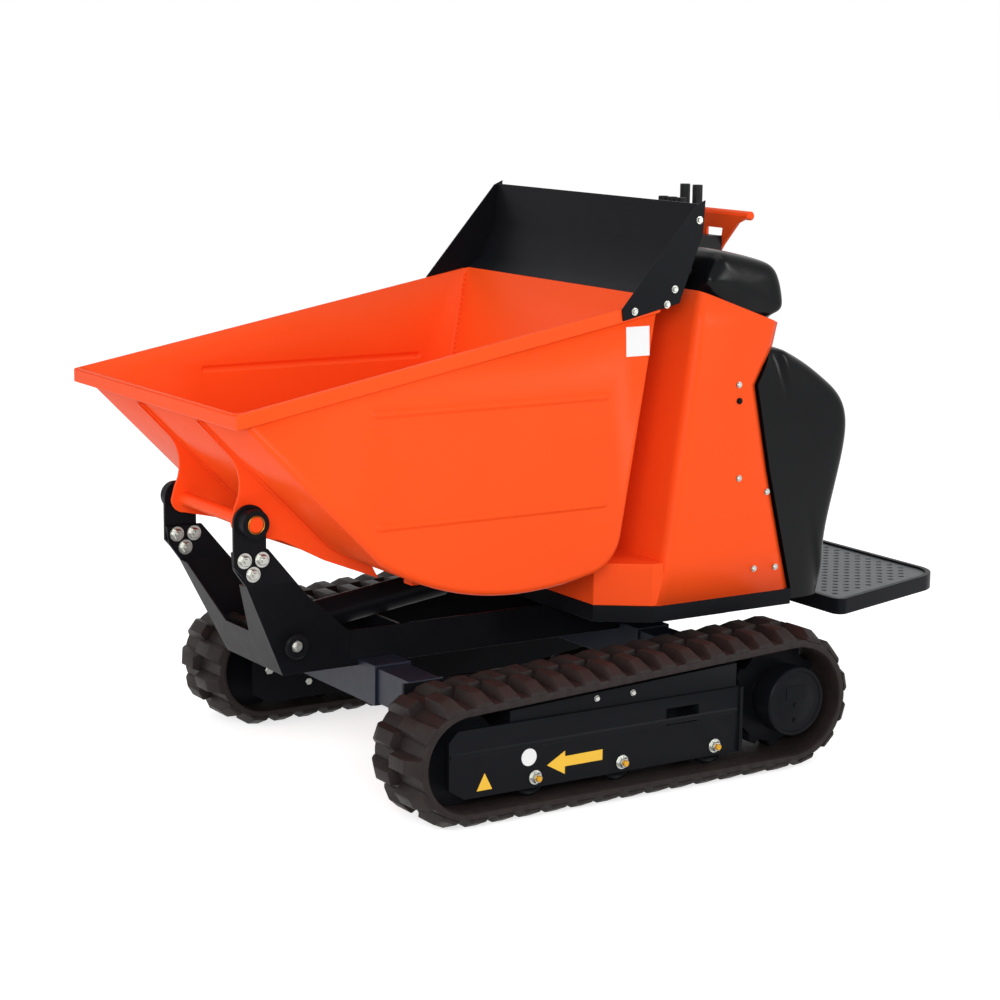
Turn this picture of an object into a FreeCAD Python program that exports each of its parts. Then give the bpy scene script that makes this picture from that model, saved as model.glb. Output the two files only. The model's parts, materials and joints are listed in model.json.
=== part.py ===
import FreeCAD, Part
import math
import os
import Sketcher

# Crawler carrier: a tracked mini dumper with a front-tipping skip.
# Frame: X forward, Y to the machine's left, Z up, millimetres, tracks on Z = 0.
# The machine is the same on both sides of the XZ plane unless a comment says otherwise.

doc = FreeCAD.newDocument("crawler_carrier")
sheet = doc.addObject("Spreadsheet::Sheet", "Sizes")

# alias, value in mm (degrees for angles, a plain number for counts), meaning
SIZES = [
    # tracks
    ("track_centre_y", 418, "middle of each belt from the machine's middle"),
    ("belt_width", 180, "rubber belt"),
    ("belt_thick", 16, "belt without its lugs"),
    ("lug_height", 22, "lug above the belt"),
    ("lug_root", 46, "lug length where it meets the belt"),
    ("lug_crown", 32, "lug length at its tip"),
    ("lug_count", 37, "lugs in each of a belt's two rows"),
    ("sprocket_x", -277, "drive sprocket centre"),
    ("sprocket_z", 148, "drive sprocket centre above the ground"),
    ("idler_x", 491, "front idler centre"),
    ("idler_z", 130, "front idler centre above the ground"),
    ("roller_z", 80, "bottom roller axles above the ground"),
    ("frame_low_z", 59, "bottom edge of the track frame plates"),
    ("plate_thick", 8, "track frame and main frame plate"),
    ("outer_plate_y", 488, "outside of the outer track frame plate"),
    ("outer_plate_top", 193, "top edge of the outer track frame plate"),
    ("plate_rear_x", -144, "rear end of the outer track frame plate"),
    ("plate_front_x", 530, "front end of the track frame plates"),
    ("inner_plate_y", 322, "outside of the inner track frame plate"),
    ("wheel_gap", 0.3, "between a wheel and the belt it carries"),
    ("pin_fit", 0.05, "radial running fit of a pin in its bore"),
    ("cover_radius", 70, "drive cover disc"),
    # track gauge slides
    ("slide_tube", 70, "square slide tube, outside"),
    ("tube_wall", 5, "wall of slide tube and sleeve"),
    ("slide_fit", 0.5, "slide tube to sleeve, each side"),
    ("slide_z", 213, "middle of the slide tubes above the ground"),
    ("slide_front_x", 477, "front slide tube"),
    ("slide_rear_x", -150, "rear slide tube"),
    ("sleeve_reach", 188, "sleeve end from the machine's middle"),
    ("slide_inner_y", 130, "inner end of each slide tube"),
    # main frame, support and deck
    ("frame_half", 121, "outside of the main frame from the middle"),
    ("frame_low", 240, "bottom edge of the main frame"),
    ("frame_high", 312, "top edge of the main frame"),
    ("frame_rear_x", -390, "rear end of the main frame"),
    ("frame_front_x", 540, "front end of the main frame"),
    ("support_half", 149, "outside of the support arms at the hinge"),
    ("support_bend_z", 430, "height where the support arms turn upright"),
    ("deck_high", 345, "top of the deck tray"),
    ("deck_floor", 6, "deck tray floor"),
    ("deck_rear_x", -369, "rear edge of the deck"),
    ("nose_front_x", 77, "front of the body's nose and the deck"),
    ("nose_half", 293, "half width of the nose's front"),
    ("nose_high", 431, "top of the nose"),
    # body
    ("body_half", 365, "half width of body, hood and rear cover"),
    ("sheet_thick", 4, "sheet metal of body and skip"),
    ("cover_wall", 5, "wall of the moulded rear cover"),
    ("engine_long", 170, "engine block along X"),
    ("engine_wide", 340, "engine block across"),
    ("engine_high", 380, "engine block height"),
    # skip
    ("hinge_x", 770, "skip pivot"),
    ("hinge_z", 556, "skip pivot"),
    ("hinge_pin", 15, "pivot pin radius"),
    ("boss_radius", 28, "pivot boss radius"),
    ("boss_end_y", 183, "outer end of the pivot bosses"),
    ("gusset_y", 135, "outside of the skip's hinge gussets"),
    ("gusset_thick", 6, "hinge gusset plate"),
    ("skip_half", 361, "outside of the skip's side walls"),
    ("rim_front_x", 900, "front edge of the skip"),
    ("rim_front_z", 796, "top of the skip's front edge"),
    ("rim_slope", 10.24, "rise of the rim to the rear, degrees"),
    ("rim_high", 28, "height of the rim band"),
    ("rim_out", 7, "rim band beyond the side wall"),
    ("lip_deep", 25, "depth of the front lip"),
    ("wall_foot_x", 600, "foot of the front wall, where the floor begins"),
    ("wall_foot_z", 492, "foot of the front wall, where the floor begins"),
    ("belly_rear_radius", 731, "radius of the floor behind its lowest point"),
    ("belly_x", 295, "lowest point of the floor"),
    ("belly_low_z", 403, "lowest point of the floor"),
    ("rear_top_x", -26, "top of the skip's rear wall"),
    ("rear_lean", 0.172, "forward run of the rear wall for each unit down"),
    ("guard_sheet", 4, "guard plates"),
    # tipping cylinder
    ("base_pin_x", 669, "cylinder base pin"),
    ("base_pin_z", 303, "cylinder base pin"),
    ("rod_eye_x", 183, "cylinder rod eye at rest"),
    ("rod_eye_z", 369, "cylinder rod eye at rest"),
    ("barrel_radius", 30, "cylinder barrel, outside"),
    ("bore_radius", 24, "cylinder bore"),
    ("rod_radius", 14, "piston rod"),
    ("eye_pin", 12.5, "pin through the cylinder's base eye"),
    # operator's end
    ("platform_hinge_x", -480, "fold axis of the platform"),
    ("platform_hinge_z", 285, "fold axis of the platform"),
    ("platform_top", 300, "top of the platform's rim"),
    ("platform_front_x", -515, "front edge of the platform"),
    ("platform_rear_x", -900, "rear edge of the platform"),
    ("platform_half", 352, "half width of the platform's front"),
    ("platform_rear_half", 239, "half width of the platform's rear, before its round corners"),
    ("platform_round", 90, "rear corners of the platform"),
    ("platform_rim_high", 34, "height of the platform's rim"),
    ("platform_rim_wide", 12, "width of the platform's rim"),
    ("console_rear_x", -399, "rear face of the lever console"),
    ("console_top", 1050, "top of the lever console"),
]

for row, (alias, value, meaning) in enumerate(SIZES, start=1):
    sheet.set("A%d" % row, meaning)
    sheet.set("B%d" % row, str(value))
    sheet.setAlias("B%d" % row, alias)
doc.recompute()


class Size:
    """A length with its value and the formula that gives it from the sheet."""

    def __init__(self, value, text):
        self.value = float(value)
        self.text = text

    def __add__(self, other):
        other = as_size(other)
        return Size(self.value + other.value, "(%s + %s)" % (self.text, other.text))

    def __sub__(self, other):
        other = as_size(other)
        return Size(self.value - other.value, "(%s - %s)" % (self.text, other.text))

    def __mul__(self, other):
        other = as_size(other)
        return Size(self.value * other.value, "(%s * %s)" % (self.text, other.text))

    def __truediv__(self, other):
        other = as_size(other)
        return Size(self.value / other.value, "(%s / %s)" % (self.text, other.text))

    def root(self):
        return Size(math.sqrt(self.value), "sqrt(%s)" % self.text)

    def __neg__(self):
        return Size(-self.value, "(-1 * %s)" % self.text)

    __radd__ = __add__
    __rmul__ = __mul__

    def __rsub__(self, other):
        return as_size(other) - self


def as_size(number):
    if isinstance(number, Size):
        return number
    return Size(number, "%.6f" % number)


class SheetSizes:
    """Every alias of the sheet as a Size."""


s = SheetSizes()
for alias, _, _ in SIZES:
    setattr(s, alias, Size(sheet.get(alias), "Sizes." + alias))


def bind(thing, prop, size):
    """Set a property from a Size and keep it tied to the sheet."""
    thing.setExpression(prop, as_size(size).text)


def place(thing, x, y, z, axis=None, angle=0.0):
    """Put an object at a bound position, turned by a fixed angle."""
    rotation = FreeCAD.Rotation(FreeCAD.Vector(*axis), angle) if axis else FreeCAD.Rotation()
    base = FreeCAD.Vector(as_size(x).value, as_size(y).value, as_size(z).value)
    thing.Placement = FreeCAD.Placement(base, rotation)
    for letter, size in (("x", x), ("y", y), ("z", z)):
        bind(thing, "Placement.Base." + letter, size)
    return thing


def box(name, x_range, y_range, z_range):
    """An upright box between two bounds on each axis."""
    thing = doc.addObject("Part::Box", name)
    for prop, (low, high) in (("Length", x_range), ("Width", y_range), ("Height", z_range)):
        bind(thing, prop, as_size(high) - low)
    return place(thing, x_range[0], y_range[0], z_range[0])


TURN = {"x": ((0, 1, 0), 90), "y": ((1, 0, 0), -90), "z": (None, 0)}


def rod(name, start, radius, length, direction):
    """A cylinder from its start point along +X, +Y or +Z."""
    thing = doc.addObject("Part::Cylinder", name)
    bind(thing, "Radius", radius)
    bind(thing, "Height", length)
    axis, angle = TURN[direction]
    return place(thing, start[0], start[1], start[2], axis, angle)


def prism(name, start, radius, length, direction, sides):
    """A many-sided wheel or stem, with its corners on the radius, along +X, +Y or +Z."""
    thing = doc.addObject("Part::Prism", name)
    thing.Polygon = sides
    bind(thing, "Circumradius", radius)
    bind(thing, "Height", length)
    axis, angle = TURN[direction]
    return place(thing, start[0], start[1], start[2], axis, angle)


def fuse(name, pieces):
    thing = doc.addObject("Part::MultiFuse", name)
    thing.Shapes = pieces
    thing.Refine = True
    return thing


def cut(name, base, tools):
    """The base less one tool or several."""
    tool = tools[0] if len(tools) == 1 else fuse(name + "_tools", tools)
    thing = doc.addObject("Part::Cut", name)
    thing.Base = base
    thing.Tool = tool
    return thing


def group(name, pieces):
    """Solids that share a node without touching."""
    thing = doc.addObject("Part::Compound", name)
    thing.Links = pieces
    return thing


def made(name, shape):
    """A piece whose form no sketch or primitive gives."""
    thing = doc.addObject("Part::Feature", name)
    thing.Shape = shape
    thing.Placement = FreeCAD.Placement()
    return thing


PLANES = {"XZ": ("XZ_Plane", -1.0), "XY": ("XY_Plane", 1.0), "YZ": ("YZ_Plane", 1.0)}


def body(name, plane, points, low, high, holes=(), rounds=()):
    """A sketched outline padded between two distances from an origin plane.

    points: (across, up) in the plane; holes: (across, up, radius);
    rounds: (index of an outline point, radius)."""
    role, facing = PLANES[plane]
    part = doc.addObject("PartDesign::Body", name)
    sketch = part.newObject("Sketcher::SketchObject", name + "_outline")
    origin_plane = [f for f in part.Origin.OriginFeatures if f.Role == role][0]
    sketch.AttachmentSupport = [(origin_plane, "")]
    sketch.MapMode = "FlatFace"
    flat = [(as_size(a), as_size(b)) for a, b in points]
    for i, (a, b) in enumerate(flat):
        c, d = flat[(i + 1) % len(flat)]
        start = FreeCAD.Vector(a.value, b.value, 0)
        end = FreeCAD.Vector(c.value, d.value, 0)
        sketch.addGeometry(Part.LineSegment(start, end), False)
    for i in range(len(flat)):
        sketch.addConstraint(Sketcher.Constraint("Coincident", i, 2, (i + 1) % len(flat), 1))
    for i, (a, b) in enumerate(flat):
        for kind, size in (("DistanceX", a), ("DistanceY", b)):
            index = sketch.addConstraint(Sketcher.Constraint(kind, -1, 1, i, 1, size.value))
            bind(sketch, "Constraints[%d]" % index, size)
    for a, b, radius in holes:
        a, b, radius = as_size(a), as_size(b), as_size(radius)
        centre = FreeCAD.Vector(a.value, b.value, 0)
        circle = Part.Circle(centre, FreeCAD.Vector(0, 0, 1), radius.value)
        hole = sketch.addGeometry(circle, False)
        for kind, size in (("DistanceX", a), ("DistanceY", b)):
            index = sketch.addConstraint(Sketcher.Constraint(kind, -1, 1, hole, 3, size.value))
            bind(sketch, "Constraints[%d]" % index, size)
        index = sketch.addConstraint(Sketcher.Constraint("Radius", hole, radius.value))
        bind(sketch, "Constraints[%d]" % index, radius)
    bind(sketch, "AttachmentOffset.Base.z", facing * as_size(low))
    pad = part.newObject("PartDesign::Pad", name + "_pad")
    pad.Profile = sketch
    pad.Reversed = facing < 0
    bind(pad, "Length", as_size(high) - low)
    part.Tip = pad
    doc.recompute()
    for number, (corner, radius) in enumerate(rounds):
        round_corner(part, "%s_round%d" % (name, number), plane, flat[corner], radius)
    return part


def round_corner(part, name, plane, corner, radius):
    """Round the edge that stands on one point of the outline."""
    spot = tuple(size.value for size in corner)
    base = part.Tip
    names = []
    for number, edge in enumerate(base.Shape.Edges, start=1):
        ends = [flat_spot(vertex.Point, plane) for vertex in edge.Vertexes]
        if len(ends) == 2 and all(math.dist(end, spot) < 1e-3 for end in ends):
            names.append("Edge%d" % number)
    fillet = part.newObject("PartDesign::Fillet", name)
    fillet.Base = (base, names)
    bind(fillet, "Radius", radius)
    part.Tip = fillet
    doc.recompute()


def flat_spot(point, plane):
    """A point's two coordinates in a sketch plane."""
    return {"XZ": (point.x, point.z), "XY": (point.x, point.y), "YZ": (point.y, point.z)}[plane]


def sided(side, near, far):
    """Bounds on Y for the left side, side = 1, or the right side, side = -1."""
    return (near, far) if side > 0 else (-as_size(far), -as_size(near))


def vector(x, y, z):
    return FreeCAD.Vector(*(as_size(n).value for n in (x, y, z)))


def flat_face(points):
    """A flat face from its corner vectors."""
    return Part.Face(Part.makePolygon(list(points) + [points[0]]))


nodes = {}
SIDES = (("left", 1), ("right", -1))


# Tracks

sprocket_belt = s.sprocket_z - s.lug_height
idler_belt = s.idler_z - s.lug_height


def track_path():
    """The belt's middle line as straight and round runs, from below the sprocket forward.

    Each run is (length, function of the distance along it giving centre line point and normal)."""
    rear = vector(s.sprocket_x, 0, s.sprocket_z)
    front = vector(s.idler_x, 0, s.idler_z)
    half = s.belt_thick.value / 2
    rear_radius = sprocket_belt.value - half
    front_radius = idler_belt.value - half
    tilt = 2 * math.atan2(front.z - rear.z, front.x - rear.x)
    top = math.pi / 2 + tilt
    reach = front.x - rear.x

    def ray(angle):
        return FreeCAD.Vector(math.cos(angle), 0, math.sin(angle))

    def straight(start, along, normal):
        return lambda d: (start + along * d, normal)

    def bend(centre, radius, start):
        return lambda d: (centre + ray(start + d / radius) * radius, ray(start + d / radius))

    down = -math.pi / 2
    return [
        (reach, straight(rear + ray(down) * rear_radius, ray(0), ray(down))),
        (front_radius * (top - down), bend(front, front_radius, down)),
        (reach, straight(front + ray(top) * front_radius, ray(top + math.pi / 2), ray(top))),
        (rear_radius * (2 * math.pi + down - top), bend(rear, rear_radius, top)),
    ]


def belt_row(phase):
    """The face of one row: belt and lugs seen from the side, lugs shifted by phase pitches."""
    runs = track_path()
    total = sum(length for length, _ in runs)
    count = int(round(s.lug_count.value))
    half = s.belt_thick.value / 2

    def at(distance, height):
        distance %= total
        for length, run in runs:
            if distance <= length:
                point, normal = run(distance)
                return point + normal * height
            distance -= length
        return runs[0][1](0)[0]

    # distance from the lug's middle, height over the middle line
    lug = [
        (-s.lug_root.value / 2, half),
        (-s.lug_crown.value / 2, half + s.lug_height.value),
        (s.lug_crown.value / 2, half + s.lug_height.value),
        (s.lug_root.value / 2, half),
    ]
    outer = []
    for number in range(count):
        middle = (number + phase) * total / count
        outer += [at(middle + along, height) for along, height in lug]
    inner = []
    for length, run in runs:
        start, halfway, end = [run(length * share) for share in (0, 0.5, 1)]
        ends = [point - normal * half for point, normal in (start, halfway, end)]
        if (start[1] - end[1]).Length < 1e-9:
            inner.append(Part.LineSegment(ends[0], ends[2]).toShape())
        else:
            inner.append(Part.Arc(*ends).toShape())
    return flat_face(outer).cut(Part.Face(Part.Wire(inner)))


def belt_shape():
    """Two rows of lugs, half a pitch apart, side by side on one belt."""
    width = s.belt_width.value / 2
    outer_row = belt_row(0).extrude(FreeCAD.Vector(0, width, 0))
    inner_row = belt_row(0.5).extrude(FreeCAD.Vector(0, -width, 0))
    return outer_row.fuse(inner_row).removeSplitter()


belt_solid = belt_shape()
roller_radius = s.roller_z - s.lug_height - s.belt_thick - s.wheel_gap
idler_radius = idler_belt - s.belt_thick - s.wheel_gap
sprocket_radius = sprocket_belt - s.belt_thick - s.wheel_gap
roller_axle = as_size(10)
idler_axle = as_size(14)
ROLLER_X = (339, 138, -86)
WHEEL_HALF = 55
HUB_RADIUS = 60
TOOTH_DEEP = 11
TOOTH_COUNT = 12
SPROCKET_HALF = 18
IDLER_HALF = 32
# sides of the wheels' outlines
DISC_SIDES = 32
ROLLER_SIDES = 16
AXLE_SIDES = 8
outer_inside = s.outer_plate_y - s.plate_thick
carriage_y = s.inner_plate_y - s.plate_thick
cover_seat = s.track_centre_y + 44
chamfer_low = s.frame_low_z + 22

COVER_OUT = 20
COVER_RIM = 7


def toothed_wheel(low, high):
    """The sprocket's toothed disc between two distances on Y."""
    radius = sprocket_radius.value
    # share of the tooth pitch, depth below the tips
    tooth = [(-0.28, TOOTH_DEEP), (-0.14, 0), (0.14, 0), (0.28, TOOTH_DEEP)]
    low, high = as_size(low), as_size(high)
    corners = []
    for number in range(TOOTH_COUNT):
        for share, deep in tooth:
            angle = 2 * math.pi * (number + share) / TOOTH_COUNT
            corners.append(vector(s.sprocket_x + (radius - deep) * math.cos(angle), low,
                                  s.sprocket_z + (radius - deep) * math.sin(angle)))
    return flat_face(corners).extrude(vector(0, high - low, 0))


for side_name, side in SIDES:

    def tag(name):
        return name + "_" + side_name

    def across(near, far):
        return sided(side, near, far)

    # rubber belt
    belt = made(tag("belt"), belt_solid)
    belt.Placement.Base.y = side * s.track_centre_y.value
    if side < 0:
        belt.Placement.Rotation = FreeCAD.Rotation()
        belt.Shape = belt_solid.mirror(FreeCAD.Vector(0, 0, 0), FreeCAD.Vector(0, 1, 0))
        belt.Placement.Base.y = side * s.track_centre_y.value
    nodes[tag("belt")] = belt

    # frame: outer plate, closed beam between the belt runs, inner plate, rear flange
    low, high = across(outer_inside, s.outer_plate_y)
    outer_plate = body(
        tag("outer_plate"), "XZ",
        [(s.plate_rear_x, s.frame_low_z), (s.plate_front_x - 34, s.frame_low_z),
         (s.plate_front_x, chamfer_low), (s.plate_front_x, s.outer_plate_top - 20),
         (s.plate_front_x - 20, s.outer_plate_top), (s.plate_rear_x, s.outer_plate_top)],
        low, high)
    low, high = across(carriage_y, s.inner_plate_y)
    tube_top = s.slide_z + s.slide_tube / 2
    inner_plate = body(
        tag("inner_plate"), "XZ",
        [(s.sprocket_x - 65, s.sprocket_z - 65), (s.plate_rear_x, s.frame_low_z),
         (s.plate_front_x - 34, s.frame_low_z), (s.plate_front_x, chamfer_low),
         (s.slide_front_x + 53, tube_top), (s.slide_rear_x - 60, tube_top),
         (s.sprocket_x - 65, s.sprocket_z + 65)],
        low, high)
    low, high = across(s.inner_plate_y, outer_inside)
    beam_rear = s.plate_rear_x
    beam_front = s.idler_x - idler_radius - 8
    beam = body(
        tag("beam"), "XZ",
        [(beam_rear, s.roller_z + roller_radius + 8), (beam_front, s.roller_z + roller_radius + 8),
         (beam_front, s.outer_plate_top + 22), (beam_rear, s.outer_plate_top + 47)],
        low, high)
    flange = box(tag("rear_flange"), (s.plate_rear_x - s.plate_thick, s.plate_rear_x),
                 across(s.outer_plate_y - 26, s.outer_plate_y + 6),
                 (s.frame_low_z, s.outer_plate_top))
    window = box(tag("window"), (-46, 33), across(s.outer_plate_y - 40, s.outer_plate_y + 1),
                 (137, 171))
    frame = fuse(tag("track_frame_plates"), [outer_plate, inner_plate, beam, flange])
    nodes[tag("track_frame")] = cut(tag("track_frame"), frame, [window])

    # drive sprocket on its motor
    low, high = across(s.inner_plate_y, cover_seat)
    housing = prism(tag("motor_housing"), (s.sprocket_x, low, s.sprocket_z), HUB_RADIUS,
                    high - as_size(low), "y", DISC_SIDES)
    low, high = across(s.track_centre_y - SPROCKET_HALF, s.track_centre_y + SPROCKET_HALF)
    wheel = made(tag("sprocket_wheel"), toothed_wheel(low, high))
    nodes[tag("sprocket")] = fuse(tag("sprocket"), [housing, wheel])

    # blank drive cover: a disc with a raised rim
    low, high = across(cover_seat, s.outer_plate_y + COVER_OUT)
    disc = prism(tag("cover_disc"), (s.sprocket_x, low, s.sprocket_z), s.cover_radius,
                 high - as_size(low), "y", DISC_SIDES)
    low, high = across(s.outer_plate_y + COVER_OUT - COVER_RIM, s.outer_plate_y + COVER_OUT)
    dish = prism(tag("cover_dish"), (s.sprocket_x, low, s.sprocket_z), s.cover_radius - COVER_RIM,
                 high - as_size(low), "y", DISC_SIDES)
    nodes[tag("drive_cover")] = cut(tag("drive_cover"), disc, [dish])

    # front idler
    low, high = across(s.track_centre_y - IDLER_HALF, s.track_centre_y + IDLER_HALF)
    wheel = prism(tag("idler_wheel"), (s.idler_x, low, s.idler_z), idler_radius,
                  high - as_size(low), "y", DISC_SIDES)
    low, high = across(s.inner_plate_y, outer_inside)
    axle = prism(tag("idler_axle"), (s.idler_x, low, s.idler_z), idler_axle,
                 high - as_size(low), "y", AXLE_SIDES)
    nodes[tag("idler")] = fuse(tag("idler"), [wheel, axle])

    # three bottom rollers
    rollers = []
    for number, x in enumerate(ROLLER_X):
        low, high = across(s.track_centre_y - WHEEL_HALF, s.track_centre_y + WHEEL_HALF)
        drum = prism(tag("drum%d" % number), (x, low, s.roller_z), roller_radius,
                     high - as_size(low), "y", ROLLER_SIDES)
        low, high = across(s.inner_plate_y, outer_inside)
        axle = prism(tag("roller_axle%d" % number), (x, low, s.roller_z), roller_axle,
                     high - as_size(low), "y", AXLE_SIDES)
        rollers.append(fuse(tag("roller%d" % number), [drum, axle]))
    nodes[tag("rollers")] = group(tag("rollers"), rollers)

    # slide tubes that set the track gauge
    tubes = []
    for number, x in enumerate((s.slide_front_x, s.slide_rear_x)):
        half = s.slide_tube / 2
        hollow = half - s.tube_wall
        span = across(s.slide_inner_y, carriage_y)
        outside = box(tag("tube%d" % number), (x - half, x + half), span,
                      (s.slide_z - half, s.slide_z + half))
        inside = box(tag("tube_bore%d" % number), (x - hollow, x + hollow), span,
                     (s.slide_z - hollow, s.slide_z + hollow))
        tubes.append(cut(tag("slide_tube%d" % number), outside, [inside]))
    nodes[tag("slide_tubes")] = group(tag("slide_tubes"), tubes)


# Main frame

sleeve_bore = s.slide_tube / 2 + s.slide_fit
sleeve_half = sleeve_bore + s.tube_wall
sleeve_top = s.slide_z + sleeve_half

sleeves = []
for number, x in enumerate((s.slide_front_x, s.slide_rear_x)):
    span = (-s.sleeve_reach, s.sleeve_reach)
    outside = box("sleeve%d" % number, (x - sleeve_half, x + sleeve_half), span,
                  (s.slide_z - sleeve_half, sleeve_top))
    inside = box("sleeve_bore%d" % number, (x - sleeve_bore, x + sleeve_bore), span,
                 (s.slide_z - sleeve_bore, s.slide_z + sleeve_bore))
    sleeves.append(cut("cross_sleeve%d" % number, outside, [inside]))
nodes["cross_sleeves"] = group("cross_sleeves", sleeves)

rails = []
for side_name, side in SIDES:
    low, high = sided(side, s.frame_half - s.plate_thick, s.frame_half)
    rails.append(body(
        "frame_rail_" + side_name, "XZ",
        [(s.frame_rear_x, s.frame_low),
         (s.slide_rear_x - sleeve_half, s.frame_low), (s.slide_rear_x - sleeve_half, sleeve_top),
         (s.slide_rear_x + sleeve_half, sleeve_top), (s.slide_rear_x + sleeve_half, s.frame_low),
         (s.slide_front_x - sleeve_half, s.frame_low), (s.slide_front_x - sleeve_half, sleeve_top),
         (s.slide_front_x + sleeve_half, sleeve_top), (s.slide_front_x + sleeve_half, s.frame_low),
         (s.frame_front_x, s.frame_low), (s.frame_front_x, s.frame_high),
         (s.frame_rear_x, s.frame_high)],
        low, high))
frame_inside = s.frame_half - s.plate_thick
top_plate = box("frame_top", (s.frame_rear_x, 40), (-frame_inside, frame_inside),
                (s.frame_high - s.plate_thick, s.frame_high))
end_plate = box("frame_end", (s.frame_rear_x, s.frame_rear_x + s.plate_thick),
                (-frame_inside, frame_inside), (s.frame_low, s.frame_high - s.plate_thick))
cross_plate = box("frame_cross", (370, 370 + s.plate_thick), (-frame_inside, frame_inside),
                  (s.frame_low + 5, 290))
nodes["main_frame"] = fuse("main_frame", rails + [top_plate, end_plate, cross_plate])


# Front support: two arms that carry the skip's pivot, joined by a notched front plate

arm_spread = (s.support_half - s.frame_half) / (s.support_bend_z - s.frame_low)
FRONT_RUN = 90
ARM_TOP_Z = 500
SUPPORT_FRONT_X = 684


def arm_point(x, z, side, inset):
    """A point of the arm's outside face, or of the face behind it."""
    out = s.frame_half + (as_size(z) - s.frame_low) * arm_spread - inset
    return vector(x, side * out, z)


def support_arm(side):
    """One arm: a leaning lower plate and an upright upper plate."""
    lower = [(s.frame_front_x, s.frame_low), (SUPPORT_FRONT_X, s.frame_low),
             (SUPPORT_FRONT_X + FRONT_RUN, s.support_bend_z), (669, s.support_bend_z),
             (637, 394), (s.frame_front_x, s.frame_high)]
    faces = []
    for inset in (0, s.plate_thick):
        wire = Part.makePolygon([arm_point(x, z, side, inset) for x, z in lower + lower[:1]])
        faces.append(wire)
    leaning = Part.makeLoft(faces, True, True)
    upper = [(669, s.support_bend_z), (SUPPORT_FRONT_X + FRONT_RUN, s.support_bend_z),
             (800, 466), (804, ARM_TOP_Z), (728, ARM_TOP_Z)]
    outside = flat_face([vector(x, side * s.support_half, z) for x, z in upper])
    upright = outside.extrude(vector(0, -side * s.plate_thick, 0))
    return leaning.fuse(upright)


def front_plate():
    """The leaning plate between the arms' front edges, with a deep notch from the top."""
    thick = 6
    rise = s.support_bend_z - s.frame_low
    inset = s.plate_thick
    low_half = s.frame_half - inset
    high_half = s.support_half - inset
    # share of the height, half width: right side upward, then the notch
    edge = [(0, low_half), (1, high_half), (1, high_half - 26), (0.42, 50)]
    corners = []
    for side in (1, -1):
        row = edge if side > 0 else edge[::-1]
        for share, half in row:
            corners.append(vector(SUPPORT_FRONT_X + FRONT_RUN * share, side * as_size(half),
                                  s.frame_low + rise * share))
    return flat_face(corners).extrude(FreeCAD.Vector(-thick, 0, 0))


support = support_arm(1).fuse([support_arm(-1), front_plate()])
support_pin_hole = Part.makeCylinder(s.eye_pin.value + s.pin_fit.value, 2 * s.support_half.value,
                                     vector(s.base_pin_x, -s.support_half, s.base_pin_z),
                                     FreeCAD.Vector(0, 1, 0))
nodes["front_support"] = made("front_support", support.cut(support_pin_hole).removeSplitter())

# base pin of the tipping cylinder, with a collar outside each arm
pin_end = s.frame_half + 18
nodes["cylinder_pin"] = rod("cylinder_pin", (s.base_pin_x, -pin_end, s.base_pin_z), s.eye_pin,
                            2 * pin_end, "y")

# bolted hinge brackets with the pivot bosses
TAB_HALF = 34
TAB_LONG = 114
brackets = []
for side_name, side in SIDES:
    low, high = sided(side, s.support_half, s.support_half + s.plate_thick)
    tab = body(
        "bracket_tab_" + side_name, "XZ",
        [(s.hinge_x - TAB_HALF, s.hinge_z), (s.hinge_x - TAB_HALF, s.hinge_z - 64),
         (s.hinge_x - 24, s.hinge_z - TAB_LONG + 6), (s.hinge_x + 8, s.hinge_z - TAB_LONG),
         (s.hinge_x + TAB_HALF, s.hinge_z - 84), (s.hinge_x + TAB_HALF, s.hinge_z)],
        low, high)
    crown = rod("bracket_crown_" + side_name, (s.hinge_x, low, s.hinge_z), TAB_HALF,
                high - as_size(low), "y")
    low, high = sided(side, s.support_half, s.boss_end_y)
    boss = rod("bracket_boss_" + side_name, (s.hinge_x, low, s.hinge_z), s.boss_radius,
               high - as_size(low), "y")
    bore = rod("bracket_bore_" + side_name, (s.hinge_x, low, s.hinge_z),
               s.hinge_pin + s.pin_fit, high - as_size(low), "y")
    whole = fuse("bracket_" + side_name, [tab, crown, boss])
    brackets.append(cut("hinge_bracket_" + side_name, whole, [bore]))
nodes["hinge_brackets"] = group("hinge_brackets", brackets)


# Deck tray under the body

BODY_FRONT_LOW_X = -19
deck_outline = [(s.deck_rear_x, -s.body_half), (BODY_FRONT_LOW_X, -s.body_half),
                (s.nose_front_x, -s.nose_half), (s.nose_front_x, s.nose_half),
                (BODY_FRONT_LOW_X, s.body_half), (s.deck_rear_x, s.body_half)]
tray = body("deck_tray", "XY", deck_outline, s.frame_high, s.deck_high)
TRAY_RIM = 12
tray_hollow = body(
    "deck_hollow", "XY",
    [(s.deck_rear_x + TRAY_RIM, -(s.body_half - TRAY_RIM)),
     (BODY_FRONT_LOW_X - 4, -(s.body_half - TRAY_RIM)),
     (s.nose_front_x - TRAY_RIM, -(s.nose_half - 8)), (s.nose_front_x - TRAY_RIM, s.nose_half - 8),
     (BODY_FRONT_LOW_X - 4, s.body_half - TRAY_RIM),
     (s.deck_rear_x + TRAY_RIM, s.body_half - TRAY_RIM)],
    s.frame_high + s.deck_floor, s.deck_high)
nodes["deck"] = cut("deck", tray, [tray_hollow])


# Body panels

COVER_LOW = 323
DRAWN_RISE = 727


def raised(z):
    """A height of the body, drawn for a console top at 1050, as the console top moves."""
    return (s.console_top - COVER_LOW) * ((z - COVER_LOW) / DRAWN_RISE) + COVER_LOW


body_inside = s.body_half - s.sheet_thick
bend_low = (-46, s.nose_high)
bend_high = (-121, raised(971))
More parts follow.
